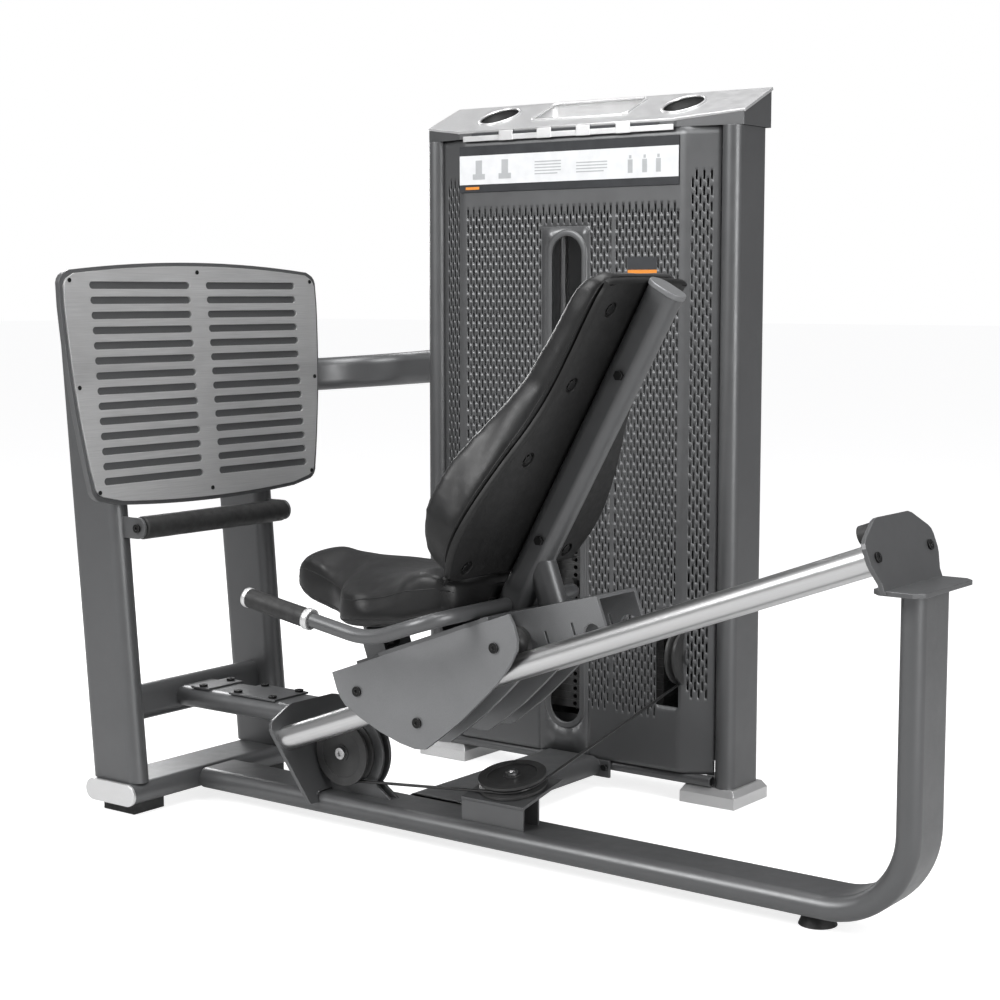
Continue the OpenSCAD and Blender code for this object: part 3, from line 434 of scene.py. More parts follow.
def lathe(name, profile, where, body, slot, material=None, sides=48):
    """A profile of (radius, height) turned about the Z of a frame, in millimetres.

    It needs no end faces where the profile starts and ends on the axis, or meets itself.
    """
    verts, faces = [], []
    for r, h in profile:
        for k in range(sides):
            a = 2 * math.pi * k / sides
            verts.append(where @ (Vector((r * math.cos(a), r * math.sin(a), h)) / 1000))
    for i in range(len(profile) - 1):
        for k in range(sides):
            j = (k + 1) % sides
            faces.append((i * sides + k, i * sides + j, (i + 1) * sides + j, (i + 1) * sides + k))
    on_axis = profile[0][0] < 0.01 and profile[-1][0] < 0.01
    if not on_axis and profile[0] != profile[-1]:
        faces += [tuple(range(sides)), tuple((len(profile) - 1) * sides + k for k in range(sides))]
    o = piece(name, verts, faces, body, slot, material, smooth=40)
    work = bmesh.new()
    work.from_mesh(o.data)
    bmesh.ops.remove_doubles(work, verts=work.verts, dist=1e-6)
    bmesh.ops.recalc_face_normals(work, faces=work.faces)
    work.to_mesh(o.data)
    work.free()
    return o


def box_points(lo, hi):
    x, y, z = zip(lo, hi)
    v = [(x[i], y[j], z[k]) for i in (0, 1) for j in (0, 1) for k in (0, 1)]
    f = [(0, 1, 3, 2), (4, 6, 7, 5), (0, 4, 5, 1), (2, 3, 7, 6), (0, 2, 6, 4), (1, 5, 7, 3)]
    return v, f


def plates(name, boxes, body, slot, material=None, bevel=0.0006):
    """Thin plates between corners of the layout, with rounded edges, as one piece."""
    verts, faces = [], []
    for lo, hi in boxes:
        v, f = box_points(lo, hi)
        faces += [tuple(i + len(verts) for i in q) for q in f]
        verts += [at(*p) for p in v]
    o = piece(name, verts, faces, body, slot, material, smooth=False)
    return rounded(o, bevel)


# ---- Camera, light and floor ----

camera = bpy.data.objects.new("camera", bpy.data.cameras.new("camera"))
scene.collection.objects.link(camera)
camera.location = (2.20201, -3.06112, 1.080)
camera.rotation_euler = (math.radians(90 - 6.13), 0, math.radians(36.7))
camera.data.lens = 69.03
scene.camera = camera


def light(name, place, target, size, power, tall=None):
    data = bpy.data.lights.new(name, "AREA")
    data.shape = "RECTANGLE"
    data.size, data.size_y, data.energy = size, tall or size, power
    o = bpy.data.objects.new(name, data)
    scene.collection.objects.link(o)
    o.location = place
    o.rotation_euler = (Vector(target) - Vector(place)).to_track_quat("-Z", "Y").to_euler()
    return o


light("key", (-1.6, -4.0, 3.6), (0, 0, 0.6), 2.4, 230)
light("fill", (4.2, -1.0, 1.9), (0.0, 0, 0.7), 1.8, 115, 2.8)
light("top", (0.4, -0.2, 4.2), (0.1, 0, 0.5), 1.6, 110, 3.0)
light("rim", (-3.4, 1.6, 2.2), (0, 0, 0.8), 1.0, 60, 2.4)

# Pale where it is seen, and a darker graded studio where metal reflects it
world = bpy.data.worlds.new("studio")
scene.world = world
world.use_nodes = True
tree = world.node_tree
sky = tree.nodes["Background"]
ramp = tree.nodes.new("ShaderNodeValToRGB")
where = tree.nodes.new("ShaderNodeTexCoord")
split = tree.nodes.new("ShaderNodeSeparateXYZ")
tree.links.new(where.outputs["Generated"], split.inputs[0])
tree.links.new(split.outputs["Z"], ramp.inputs[0])
stops = ramp.color_ramp.elements
stops[0].position, stops[0].color = 0.0, (0.24, 0.24, 0.245, 1)
stops[1].position, stops[1].color = 0.9, (0.42, 0.42, 0.43, 1)
stops.new(0.3).color = (0.15, 0.15, 0.155, 1)
pale = tree.nodes.new("ShaderNodeMix")
pale.data_type = "RGBA"
pale.inputs[7].default_value = (1.0, 1.0, 1.0, 1)
rays = tree.nodes.new("ShaderNodeLightPath")
tree.links.new(rays.outputs["Is Camera Ray"], pale.inputs[0])
tree.links.new(ramp.outputs[0], pale.inputs[6])
tree.links.new(pale.outputs[2], sky.inputs["Color"])
scene.view_settings.view_transform = "Standard"

# Floor that glows a little, so it stays pale out to the horizon
floor_finish = Finish("floor", roughness=0.7, specular_ior_level=0.1, emission_color=(1, 1, 1, 1))
seen = floor_finish.node("ShaderNodeLightPath").outputs["Is Camera Ray"]
floor_finish.link(floor_finish.remap(seen, 0, 1, 0.12, 0.8), "Emission Strength")
floor_finish.link(floor_finish.mix(floor_finish.noise(3, 3), grey(0.5), grey(0.53)), "Base Color")
floor = piece("floor", [(-60, -60, -0.001), (60, -60, -0.001), (60, 60, -0.001), (-60, 60, -0.001)],
              [(0, 1, 2, 3)], None, None, floor_finish.material, smooth=False)


# ---- Cushions ----

def eased(obj, kind, **settings):
    """Applies one modifier and keeps its result as the object's mesh."""
    m = obj.modifiers.new(kind.lower(), kind)
    for key, value in settings.items():
        setattr(m, key, value)
    graph = bpy.context.evaluated_depsgraph_get()
    mesh = bpy.data.meshes.new_from_object(obj.evaluated_get(graph))
    obj.modifiers.clear()
    obj.data = mesh


def points_of(obj):
    co = np.empty(len(obj.data.vertices) * 3, np.float64)
    obj.data.vertices.foreach_get("co", co)
    return co.reshape(-1, 3)


def inflated(obj, cap, keep, pressure=4.0):
    """Puffs the form as a skin under pressure; keep(points) says which points stay where they are."""
    before = points_of(obj)
    held = keep(before)
    group = obj.vertex_groups.new(name="held")
    group.add([int(i) for i in np.nonzero(held)[0]], 1.0, "REPLACE")
    cloth = obj.modifiers.new("cloth", "CLOTH")
    s = cloth.settings
    s.quality, s.mass = 5, 0.3
    s.use_pressure, s.uniform_pressure_force = True, pressure
    s.tension_stiffness = s.compression_stiffness = 40
    s.shear_stiffness, s.bending_stiffness = 25, 12.0
    s.effector_weights.gravity = 0
    s.vertex_group_mass = "held"
    cloth.collision_settings.use_collision = False
    cloth.point_cache.frame_start, cloth.point_cache.frame_end = 1, 20
    for i in range(1, 21):
        scene.frame_set(i)
    graph = bpy.context.evaluated_depsgraph_get()
    moved = obj.evaluated_get(graph).data
    co = np.empty(len(moved.vertices) * 3, np.float64)
    moved.vertices.foreach_get("co", co)
    step = co.reshape(-1, 3) - before
    obj.modifiers.clear()
    scene.frame_set(1)
    far = np.linalg.norm(step, axis=1)
    step *= np.minimum(1, cap / np.maximum(far, 1e-9))[:, None]
    after = before + step
    obj.data.vertices.foreach_set("co", after.ravel())
    obj.data.update()
    obj.vertex_groups.clear()
    eased(obj, "SMOOTH", factor=0.5, iterations=26)


def soft_form(name, node, inset, voxel, rounds):
    """A rounded, slightly smaller copy of a CAD solid, with an even mesh."""
    obj = bpy.data.objects.new(name, frame["nodes"][node].data.copy())
    scene.collection.objects.link(obj)
    work = bmesh.new()
    work.from_mesh(obj.data)
    bmesh.ops.remove_doubles(work, verts=work.verts, dist=1e-5)
    work.to_mesh(obj.data)
    work.free()
    co = points_of(obj)
    lo, hi = co.min(0), co.max(0)
    middle, size = (lo + hi) / 2, hi - lo
    co = middle + (co - middle) * (1 - 2 * inset / size)
    obj.data.vertices.foreach_set("co", co.ravel())
    eased(obj, "REMESH", mode="VOXEL", voxel_size=voxel)
    eased(obj, "SMOOTH", factor=0.5, iterations=rounds)
    return obj


def tree_of(obj):
    graph = bpy.context.evaluated_depsgraph_get()
    return BVHTree.FromObject(obj, graph)


def seam_round(skin, rays, sink=0.0):
    """Points where rays from outside meet the skin."""
    out = []
    for start, aim in rays:
        hit = skin.ray_cast(start, (aim - start).normalized())
        if hit[0] is not None:
            out.append(hit[0] - hit[1] * sink)
    return out


# Seat: a rolled nose, a crowned top that falls to the thighs, and full sides
SEAT_PLAN = [(300, 44), (308, 60), (340, 72), (380, 78), (430, 88), (470, 112), (500, 150), (522, 174),
             (560, 190), (630, 190), (700, 190), (770, 176), (795, 150)]


def seat_top(x):
    return np.interp(x, [298, 330, 366, 450, 560, 650, 720, 775, 796],
                     [520, 562, 571, 558, 552, 556, 570, 560, 548])


def seat_fall(x):
    """How far the top falls from the middle to the side."""
    return np.interp(x, [298, 350, 420, 480, 600, 680, 740], [6, 12, 30, 40, 36, 16, 4])


def seat_side(x):
    return np.interp(x, *zip(*SEAT_PLAN))


seat = soft_form("seat_cushion", "seat_pad", 0.003, 0.006, 9)
co = points_of(seat)
x = (co[:, 0] - LAYOUT.x) * 1000
y = (co[:, 1] - LAYOUT.y) * 1000
z = co[:, 2] * 1000
above = np.clip((z - 470) / (seat_top(x) - 470), 0, 1)
co[:, 2] -= 0.001 * seat_fall(x) * above * np.clip(np.abs(y) / seat_side(x), 0, 1.1) ** 2.2
dish = np.clip((x - 520) / 80, 0, 1) * np.clip((790 - x) / 60, 0, 1)
co[:, 2] -= 0.010 * above ** 3 * dish * np.clip(1 - (y / 120) ** 2, 0, 1)
seat.data.vertices.foreach_set("co", co.ravel())
eased(seat, "SMOOTH", factor=0.5, iterations=6)
inflated(seat, 0.008, lambda p: (p[:, 2] * 1000 < 488) & (np.abs(p[:, 1] - LAYOUT.y) < 0.118))
dress(seat, None, "pad_leather")
seat_skin = tree_of(seat)



def round_outline(half, skin, place, height, per=5):
    """Points on the skin at a height, found square to a smooth outline given by its half widths."""
    outline = [Vector(p) for p in half] + [Vector((x, -w)) for x, w in half[::-1]]
    loop = curve_through(outline, per, closed=True)
    n = len(loop)
    rays = []
    for i in range(n):
        d = (loop[(i + 2) % n] - loop[i - 2]).normalized()
        out = Vector((-d.y, d.x))
        h = height(loop[i].x)
        outside, inside = loop[i] + out * 90, loop[i] - out * 60
        rays.append((place(outside.x, outside.y, h), place(inside.x, inside.y, h)))
    return seam_round(skin, rays, 0.0002)


def seat_low(x):
    return float(np.interp(x, [300, 312, 336, 358, 430, 520, 690, 745, 796],
                           [512, 496, 486, 477, 464, 458, 477, 490, 506]))


def seat_high(x):
    return float(np.interp(x, [300, 340, 380, 430, 500, 560, 640, 700, 760, 796],
                           [522, 530, 524, 512, 500, 500, 514, 532, 540, 532]))


seam = tube("seat_seam_low", round_outline(SEAT_PLAN, seat_skin, at, seat_low), 0.0014, None,
            "pad_leather", closed=True, sides=8)
upper = tube("seat_seam_top", round_outline(SEAT_PLAN, seat_skin, at, seat_high), 0.0011, None,
             "pad_leather", closed=True, sides=8)
seat.modifiers.new("finer", "SUBSURF").levels = 1
for o in (seat, seam, upper):
    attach(o, "carriage")
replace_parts(seat, "seat_pad")

# Back rest: a thick pad with drawn-in sides on a moulded cover
back = soft_form("back_cushion", "back_pad", 0.005, 0.006, 12)
co = points_of(back)
inverse = np.array(BACK.inverted())
local = (co @ inverse[:3, :3].T + inverse[:3, 3]) * 1000
front = np.clip((local[:, 2] - 60) / 30, 0, 1)
along = np.clip((local[:, 0] - 70) / 90, 0, 1) * np.clip((660 - local[:, 0]) / 90, 0, 1)
local[:, 2] -= 9 * front * along * np.clip(1 - (local[:, 1] / 120) ** 2, 0, 1)
local[:, 2] = np.maximum(local[:, 2], 24.2)
outward = np.array(BACK)
co = (local / 1000) @ outward[:3, :3].T + outward[:3, 3]
back.data.vertices.foreach_set("co", co.ravel())
def near_cover(p):
    q = (p @ inverse[:3, :3].T + inverse[:3, 3]) * 1000
    return q[:, 2] < 30
inflated(back, 0.008, near_cover)
dress(back, None, "pad_leather")
back_skin = tree_of(back)


PAD_PLAN = [(46, 150), (56, 188), (80, 212), (112, 230), (158, 238), (225, 226), (300, 200), (380, 168),
            (447, 150), (530, 145), (610, 144), (666, 137), (688, 112)]


def on_back(t, y, n):
    return mm(BACK, t, y, n)


back_seam = tube("back_seam_edge", round_outline(PAD_PLAN, back_skin, on_back, lambda t: 31), 0.0014,
                 None, "pad_leather", closed=True, sides=8)
back.modifiers.new("finer", "SUBSURF").levels = 1
for o in (back, back_seam):
    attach(o, "carriage")
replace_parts(back, "back_pad")

SHELL = [(55, 182), (64, 202), (110, 222), (158, 229), (220, 218), (300, 190), (380, 155),
         (447, 138), (530, 133), (610, 133), (660, 128), (680, 108)]
PAD_BOLTS = [(84, 160), (315, 124.6), (470, 98), (623, 88)]


def inset_loop(loop, by):
    """The loop moved inwards by a distance, in its own plane."""
    n = len(loop)
    out = []
    for i in range(n):
        d = (loop[(i + 1) % n] - loop[i - 1]).normalized()
        out.append(loop[i] - Vector((d.y, -d.x)) * by)
    return out


def cover():
    """Moulded cover of the back rest: rounded rim, flat back and sunk bolt places."""
    outline = [Vector(p) for p in SHELL] + [Vector((t, -w)) for t, w in SHELL[::-1]]
    loop = curve_through(outline, 5, closed=True)
    area = sum(a.x * b.y - b.x * a.y for a, b in zip(loop, loop[1:] + loop[:1]))
    if area < 0:
        loop.reverse()
    work = bmesh.new()
    rings = []
    for n, by in ((23.8, 0), (18, 0), (15, 1), (13, 3.2), (12.1, 7)):
        rings.append([work.verts.new(mm(BACK, p.x, p.y, n)) for p in inset_loop(loop, by)])
    for a, b in zip(rings, rings[1:]):
        for i in range(len(a)):
            work.faces.new((a[i - 1], a[i], b[i], b[i - 1]))
    work.faces.new(rings[0])
    rim_edges = [work.edges.get((rings[-1][i - 1], rings[-1][i])) for i in range(len(loop))]
    for t, w in PAD_BOLTS:
        for side in (1, -1):
            previous = None
            for r, n in ((15.6, 12.1), (15, 12.9), (15, 17.5), (4.2, 17.5)):
                ring = [work.verts.new(mm(BACK, t + r * math.cos(a), side * w + r * math.sin(a), n))
                        for a in (2 * math.pi * k / 24 for k in range(24))]
                edges = [work.edges.new((ring[i - 1], ring[i])) for i in range(24)]
                if previous is None:
                    rim_edges += edges
                else:
                    for i in range(24):
                        work.faces.new((previous[i - 1], previous[i], ring[i], ring[i - 1]))
                previous = ring
            work.faces.new(previous)
    bmesh.ops.triangle_fill(work, edges=rim_edges, use_beauty=True, use_dissolve=False)
    bmesh.ops.recalc_face_normals(work, faces=work.faces)
    mesh = bpy.data.meshes.new("back_cover")
    work.to_mesh(mesh)
    work.free()
    return dress(bpy.data.objects.new("back_cover", mesh), "carriage", "shell_plastic", smooth=45)


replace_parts(cover(), "back_shell")

# Foam roller with soft ends, on its core
ROLLER = Matrix.Translation(at(15.3, 0, 602)) @ Matrix.Rotation(math.radians(90), 4, "X")
end = [(24 - 5 + 5 * math.sin(a), 204 + 5 * math.cos(a))
       for a in (math.radians(90 * k / 6) for k in range(7))]
dents = [(24 + 0.25 * math.sin(6 * k) * math.exp(-((k % 4) - 2) ** 2), 204 - 408 * k / 24)
         for k in range(1, 24)]
profile = [(12.4, 209), (15, 209.2)] + end + dents
profile += [(r, -h) for r, h in end[::-1]] + [(15, -209.2), (12.4, -209)]
foam = lathe("foam_sleeve", profile + [profile[0]], ROLLER, "foam_roller", "black_rubber")
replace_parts(foam, "foam_roller")
for side in (-1, 1):
    lathe(f"foam_end_ring_{'near' if side < 0 else 'far'}",
          [(12.4, side * 208), (18.5, side * 208), (18.5, side * 210.4), (17.6, side * 211),
           (12.4, side * 211)],
          ROLLER, "foam_roller", "shell_plastic")


# ---- Handles ----

DROP, RISE = math.radians(18.7), math.radians(9.4)


def handle_route(side):
    """Centre line of one handle bar, its tip and the way it points there."""
    bend, knee = 65.0, 200.0
    x0, y0, z0 = 812, -23 - 152, 496
    down = Vector((-math.cos(DROP), 0, -math.sin(DROP)))
    lift = Vector((-math.sin(DROP), 0, math.cos(DROP)))
    up = Vector((-math.cos(RISE), 0, math.sin(RISE)))
    pts = [Vector((x0, -23, z0)), Vector((x0, -100, z0)), Vector((x0, y0, z0))]
    for i in range(1, 15):
        a = math.radians(90 * i / 14)
        pts.append(Vector((x0, y0 - bend * math.sin(a), z0)) + down * (bend * (1 - math.cos(a))))
    corner = pts[-1] + down * 100.7
    cut = knee * math.tan((DROP + RISE) / 2)
    for i in range(13):
        a = (DROP + RISE) * i / 12
        pts.append(corner - down * cut + down * (knee * math.sin(a)) + lift * (knee * (1 - math.cos(a))))
    tip = corner + up * 306
    pts += [corner + up * 150, tip]
    return [at(p.x, side * p.y, p.z) for p in pts], at(tip.x, side * tip.y, tip.z), up


handle_parts = []
for side, word in ((1, "near"), (-1, "far")):
    route, tip, up = handle_route(side)
    bar = tube(f"handle_bar_{word}", route, 0.014, "carriage", "frame_paint", sides=32, up=Vector((0, 0, 1)))
    handle_parts.append(bar)
    turn = Vector((0, 0, 1)).rotation_difference(up).to_matrix().to_4x4()
    tip_frame = Matrix.Translation(tip) @ turn
    length = 150
    ribs = [(19 - (0.55 if k % 2 else 0), -length + 4 + (length - 10) * k / 40) for k in range(41)]
    sleeve = lathe(f"grip_sleeve_{word}", [(14.1, -length), (18, -length)] + ribs + [(18.4, -2), (14.1, -2)]
                   + [(14.1, -length)], tip_frame, "carriage", "black_rubber")
    cap = lathe(f"grip_cap_{word}", [(0, 9), (17, 9), (19, 7.6), (19.8, 5), (19.8, 0), (19, -2), (0, -2)],
                tip_frame, "carriage", "cast_silver")
    collar = lathe(f"grip_collar_{word}",
                   [(14.1, -length - 14), (19.5, -length - 14), (20.8, -length - 12.5), (21, -length - 3),
                    (20.2, -length - 0.5), (14.1, -length - 0.5), (14.1, -length - 14)],
                   tip_frame, "carriage", "cast_silver")
    handle_parts += [sleeve, cap, collar]
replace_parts(handle_parts[0], "handle_bars")
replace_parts(handle_parts[1], "handle_grips")


# ---- Cables ----

def arc(centre, u, v, radius, a0, a1, steps):
    return [centre + u * (radius * math.cos(a)) + v * (radius * math.sin(a))
            for a in (math.radians(a0 + (a1 - a0) * i / steps) for i in range(steps + 1))]


X, Y, Z = Vector((1, 0, 0)), Vector((0, 1, 0)), Vector((0, 0, 1))
TILT = math.radians(12)
tipped = Vector((0, math.cos(TILT), math.sin(TILT)))
route = arc(at(408, -27, 154), X, Z, 0.058, 110.2, 275.27, 40)
route += arc(at(789, 30, 143), X, tipped, 0.058, -90, 0, 24)
route += arc(at(847, 570, 313), Y, Z, 0.054, -78, 0, 24)
route += arc(at(803, 624, 1330), X, Z, 0.044, 0, 90, 20)
route += arc(at(602, 624, 1330), X, Z, 0.044, 90, 180, 20)
fixed = tube("cable_fixed", route, 0.003, "frame", "cable_jacket", sides=14, up=Vector((0, 1, 0)))
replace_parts(fixed, "fixed_cable")

START = RODS.inverted() @ at(408, 0, 154)
start_s, line_w = START.x * 1000, START.z * 1000 + 58
steps = 40
run = [mm(RODS, start_s + (300 - start_s) * i / steps, -27, line_w) for i in range(steps + 1)]
verts, faces = tube_mesh(run, 0.003, sides=14)
drawn = piece("cable_carriage", verts, faces, None, "cable_jacket", smooth=50)
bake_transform(drawn)
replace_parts(drawn, "carriage_cable")

low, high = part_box("stack_cable")
middle = (low + high) / 2
length = high.z - low.z
run = [Vector((middle.x, middle.y, low.z + length * i / 30)) for i in range(31)]
verts, faces = tube_mesh(run, 0.003, sides=14)
hung = piece("cable_stack", verts, faces, "frame", "cable_jacket", smooth=50)
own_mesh(hung)
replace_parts(hung, "stack_cable")


# ---- Cabinet panel ----

def panel():
    """Folded sheet with staggered slots, a window and a cut-out, as real holes."""
    verts, faces, index = [], [], {}
    band_top = 1226.0

    def corner(p):
        key = (round(p[0], 2), round(p[1], 2), round(p[2], 2))
        if key not in index:
            index[key] = len(verts)
            verts.append(at(*p))
        return index[key]

    folds = [((198, 569), (272, 545)), ((272, 545), (847, 545)), ((847, 545), (924, 569))]
    low, high = 62.5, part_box("front_panel")[1].z * 1000
    pitch, half = 8.0, 16.5
    first_line = 71.0
    levels = [low] + [first_line + half * k for k in range(82)] + [high]
    cut_low, cut_high = 203.0, 401.0
    slot_w, slot_h = 4.2, 19.0

    def stadium(u, z):
        r, h = slot_w / 2, (slot_h - slot_w) / 2
        ring = []
        for turn, way in ((0, 1), (math.pi, -1)):
            for k in range(5):
                a = turn + math.pi * k / 4
                ring.append((u + r * math.cos(a), z + way * h + r * math.sin(a)))
        return ring

    def column(spot, u0, u1, bottom, top, odd, start, cut):
        """One column of the sheet: plain steps, and a slot every other step."""
        i = 0
        while i < len(levels) - 1:
            a, b = levels[i], levels[i + 1]
            far = levels[min(i + 2, len(levels) - 1)]
            if a < start or (cut and cut_low <= a < cut_high):
                i += 1
                continue
            beside = cut and far > cut_low - half and a < cut_high + half
            if i and (i + odd) % 2 and a >= bottom and far <= top and not beside:
                c, d, e, f = (corner(spot(u, z)) for u, z in ((u0, a), (u1, a), (u1, b), (u0, b)))
                g, h = corner(spot(u1, far)), corner(spot(u0, far))
                r = [corner(spot(u, z)) for u, z in stadium((u0 + u1) / 2, b)]
                faces.extend([(g, h, r[4], r[3], r[2], r[1], r[0]), (h, f, c, r[5], r[4]),
                              (c, d, r[9], r[8], r[7], r[6], r[5]), (d, e, g, r[0], r[9])])
                i += 2
            else:
                faces.append(tuple(corner(spot(u, z)) for u, z in ((u0, a), (u1, a), (u1, b), (u0, b))))
                i += 1

    for (x0, y0), (x1, y1) in folds:
        length = math.hypot(x1 - x0, y1 - y0)
        flat = y0 == y1

        def spot(u, z):
            return (x0 + (x1 - x0) * u / length, y0 + (y1 - y0) * u / length, z)

        columns = max(1, round(length / pitch))
        width = length / columns
        for c in range(columns):
            x = x0 + (x1 - x0) * (c + 0.5) / columns
            behind = flat and 486 < x < 617
            bottom, top = (170, 1290) if flat else (215, 1344)
            plain = (x < 272 and (c < 2 or c > columns - 3)) or (x > 847 and (c < 2 or x > 911)) \
                or (flat and (c < 1 or c > columns - 2 or 668 < x < 676))
            column(spot, c * width, (c + 1) * width, high if plain else bottom, top, c % 2,
                   band_top if behind else low, flat and 788 <= x <= 869)
    mesh = bpy.data.meshes.new("panel_sheet")
    mesh.from_pydata(verts, [], faces)
    work = bmesh.new()
    work.from_mesh(mesh)
    # Plain band with the window
    across = [272 + 575 / 72 * k for k in range(27, 44)]
    sides = [z for z in levels if z <= band_top]
    outer = [(x, low) for x in across] + [(across[-1], z) for z in sides[1:]]
    outer += [(x, band_top) for x in across[-2::-1]] + [(across[0], z) for z in sides[-2:0:-1]]
    half, mid, tall = 39, 669, 1072
    inner = []
    for k in range(25):
        a = math.pi * k / 24
        inner.append((555 + half * math.cos(a), mid + tall / 2 - half + half * math.sin(a)))
    for k in range(25):
        a = math.pi + math.pi * k / 24
        inner.append((555 + half * math.cos(a), mid - tall / 2 + half + half * math.sin(a)))
    edges = []
    for loop in (outer, inner):
        ring = [work.verts.new(at(x, 545, z)) for x, z in loop]
        edges += [work.edges.new((ring[i - 1], ring[i])) for i in range(len(ring))]
    bmesh.ops.triangle_fill(work, edges=edges, use_beauty=True, use_dissolve=False)
    for face in work.faces:
        if face.normal.y > 0:
            face.normal_flip()
    work.to_mesh(mesh)
    work.free()
    o = dress(bpy.data.objects.new("panel_sheet", mesh), "frame", "frame_paint", smooth=30)
    thick = o.modifiers.new("sheet", "SOLIDIFY")
    thick.thickness, thick.offset = 0.0018, -1
    return o


sheet = panel()
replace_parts(sheet, "front_panel")


def stadium_route(x, z, half_w, half_h, y, steps=16):
    pts = []
    for k in range(steps + 1):
        a = math.pi * k / steps
        pts.append(at(x + half_w * math.cos(a), y, z + half_h - half_w + half_w * math.sin(a)))
    for k in range(steps + 1):
        a = math.pi + math.pi * k / steps
        pts.append(at(x + half_w * math.cos(a), y, z - half_h + half_w + half_w * math.sin(a)))
    return pts


def bezel():
    """Raised frame round the window: a profile swept along the stadium."""
    section = [(39, 547), (39, 543.6), (40.5, 542.2), (43, 542), (49, 542), (51.5, 542.6),
               (53, 544), (53.3, 545)]
    verts, faces = [], []
    count = None
    for half_w, y in section:
        ring = stadium_route(555, 669, half_w, 536 + half_w - 39, y, 20)
        count = len(ring)
        verts += ring
    for i in range(len(section) - 1):
        for k in range(count):
            j = (k + 1) % count
            faces.append((i * count + k, i * count + j, (i + 1) * count + j, (i + 1) * count + k))
    return piece("panel_bezel", verts, faces, "frame", "frame_paint", smooth=40)


bezel()

# Signs without wording: a card over the window, a warning colour block and a white tag
card = plates("placard_card", [((262, 542.6, 1306), (838, 544.6, 1408))], "frame", "placard_face",
              bevel=0.0008)
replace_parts(card, "placard")
plates("placard_white", [((263, 542.2, 1323), (837, 542.7, 1387))], "frame", "placard_face", PAPER, 0.0001)
rows = []
for x0, width, count in ((470, 70, 5), (580, 80, 4)):
    for k in range(count):
        rows.append(((x0, 542.0, 1340 + 6.5 * k), (x0 + width - 9 * (k == 0), 542.3, 1342.6 + 6.5 * k)))
for x0 in (300, 372):
    rows.append(((x0, 542.0, 1334), (x0 + 34, 542.3, 1346)))
    rows.append(((x0 + 8, 542.0, 1346), (x0 + 26, 542.3, 1376)))
for x0 in (712, 748, 782):
    rows.append(((x0, 542.0, 1334), (x0 + 12, 542.3, 1362)))
    rows.append(((x0 + 3, 542.0, 1364), (x0 + 9, 542.3, 1371)))
plates("placard_print", rows, "frame", "placard_face", PALE_INK, 0.0001)
plates("placard_orange", [((280, 542.0, 1312), (318, 542.4, 1318))], "frame", "placard_face", ORANGE, 0.0001)
plates("sign_dark", [((712, 544.2, 1132), (785, 544.9, 1158))], "frame", "placard_face", INK, 0.0002)
plates("sign_orange", [((712, 544.2, 1116), (785, 544.9, 1131))], "frame", "placard_face", ORANGE, 0.0002)
plates("sign_white", [((716, 544.2, 965), (787, 544.9, 985))], "frame", "placard_face", PAPER, 0.0002)

# ---- Tray: a sloping plate with wells in it, on a dark skirt ----

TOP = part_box("front_panel")[1].z * 1000
TRAY_PLAN = [(150, 570), (256, 541), (262, 538.5), (826, 538.5), (832, 541), (976, 570),
             (976, 687), (150, 687)]


def on_tray(x, y, lift=0.0):
    """A point of the tray's sloping top, with its lift in millimetres."""
    return at(x, y, TOP + 21 + 65 * (y - 545) / 145 + lift)


def round_hole(x, y, r, steps=48):
    return [(x + r * math.cos(a), y + r * math.sin(a))
            for a in (2 * math.pi * k / steps for k in range(steps))]


def square_hole(x0, y0, x1, y1, r):
    corners = ((x1 - r, y1 - r, 0), (x0 + r, y1 - r, 90), (x0 + r, y0 + r, 180), (x1 - r, y0 + r, 270))
    return [(x + r * math.cos(a), y + r * math.sin(a)) for x, y, a0 in corners
            for a in (math.radians(a0 + 90 * k / 8) for k in range(9))]


WELLS = {"cup_left": (round_hole(320, 617, 46), 7, "shell_plastic"),
         "cup_right": (round_hole(803, 617, 46), 7, "shell_plastic"),
         "pocket": (square_hole(430, 581, 680, 677, 14), 17, "cast_silver")}


def tray_plate():
    """The plate itself: one face with its holes, given its thickness."""
    work = bmesh.new()
    edges = []
    for loop in [TRAY_PLAN] + [ring for ring, floor_z, slot in WELLS.values()]:
        ring = [work.verts.new(on_tray(x, y, -0.2)) for x, y in loop]
        edges += [work.edges.new((ring[i - 1], ring[i])) for i in range(len(ring))]
    bmesh.ops.triangle_fill(work, edges=edges, use_beauty=True, use_dissolve=False)
    for face in work.faces:
        if face.normal.z < 0:
            face.normal_flip()
    mesh = bpy.data.meshes.new("tray_plate")
    work.to_mesh(mesh)
    work.free()
    o = dress(bpy.data.objects.new("tray_plate", mesh), "frame", "cast_silver", smooth=30)
    thick = o.modifiers.new("sheet", "SOLIDIFY")
    thick.thickness, thick.offset = 0.007, -1
    return rounded(o, 0.0014)


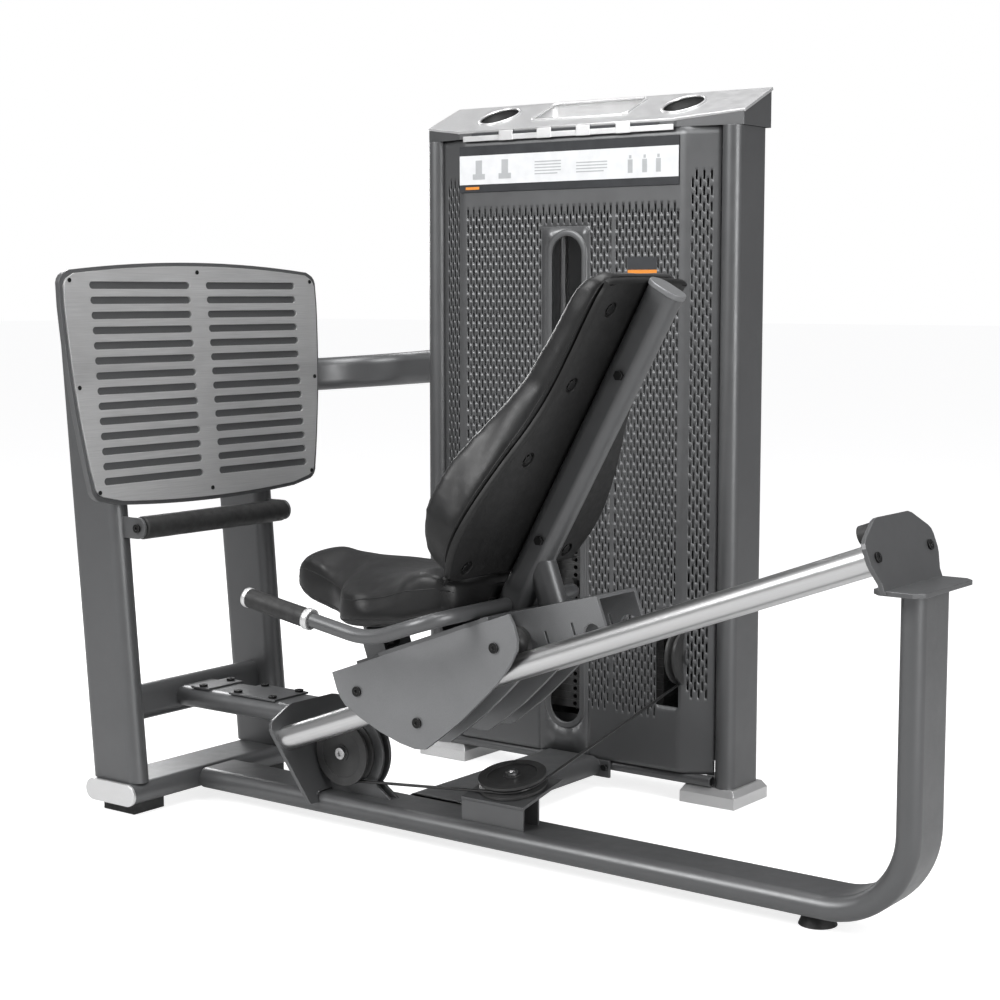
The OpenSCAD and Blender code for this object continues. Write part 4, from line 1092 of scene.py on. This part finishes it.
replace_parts(tray_plate(), "top_tray")
for name, (ring, floor_z, slot) in WELLS.items():
    n = len(ring)
    verts = [on_tray(x, y, -1.5) for x, y in ring] + [at(x, y, TOP + floor_z) for x, y in ring]
    faces = [(i, (i + 1) % n, n + (i + 1) % n, n + i) for i in range(n)] + [tuple(range(n, 2 * n))]
    well = piece(f"tray_{name}", verts, faces, "frame", slot, smooth=40)
    well.modifiers.new("sheet", "SOLIDIFY").thickness = 0.0012
    tube(f"{name}_rim", [on_tray(x, y, 0.2) for x, y in ring], 0.003, "frame", "cast_silver",
         closed=True, sides=12)

# Skirt between the cabinet and the plate, set back a little from the plate's edge
middle_x, middle_y = 563, 614
skirt = [(middle_x + (x - middle_x) * 0.995, middle_y + (y - middle_y) * 0.97) for x, y in TRAY_PLAN]
n = len(skirt)
verts = [at(x, y, TOP + 0.2) for x, y in skirt] + [on_tray(x, y, -5) for x, y in skirt]
skirt = piece("tray_skirt", verts, [(i, (i + 1) % n, n + (i + 1) % n, n + i) for i in range(n)], "frame",
              "frame_paint", smooth=False)
skirt.modifiers.new("sheet", "SOLIDIFY").thickness = 0.0015
plates("tray_apron", [((276, 537.4, TOP - 6), (826, 538.9, TOP + 6))], "frame", "cast_silver", bevel=0.0005)
# A dark strip painted in as the shade inside the slit between the apron and the plate
plates("tray_slit_painted_shade", [((300, 537.6, TOP + 6), (790, 538.9, TOP + 11))], "frame", "placard_face", INK, 0.0002)
tabs = [(376, 414), (479, 517), (582, 618), (684, 720)]
plates("tray_tabs", [((a, 536.2, TOP - 7), (b, 538.6, TOP + 15)) for a, b in tabs], "frame", "cast_silver",
       bevel=0.0008)

# Cap on the upper end of the back post
outline = []
for middle_n, turn in ((-11, 0), (-35, 180)):
    outline += [(25.5 * math.sin(a), middle_n + 25.5 * math.cos(a))
                for a in (math.radians(turn - 90 + 180 * k / 16) for k in range(17))]
n = len(outline)
verts = [mm(BACK, t, y, h) for t in (679, 689) for y, h in outline]
faces = [(i, (i + 1) % n, n + (i + 1) % n, n + i) for i in range(n)]
faces += [tuple(range(n)), tuple(range(n, 2 * n))]
rounded(piece("post_cap", verts, faces, "carriage", "plate_paint", smooth=40), 0.0016)
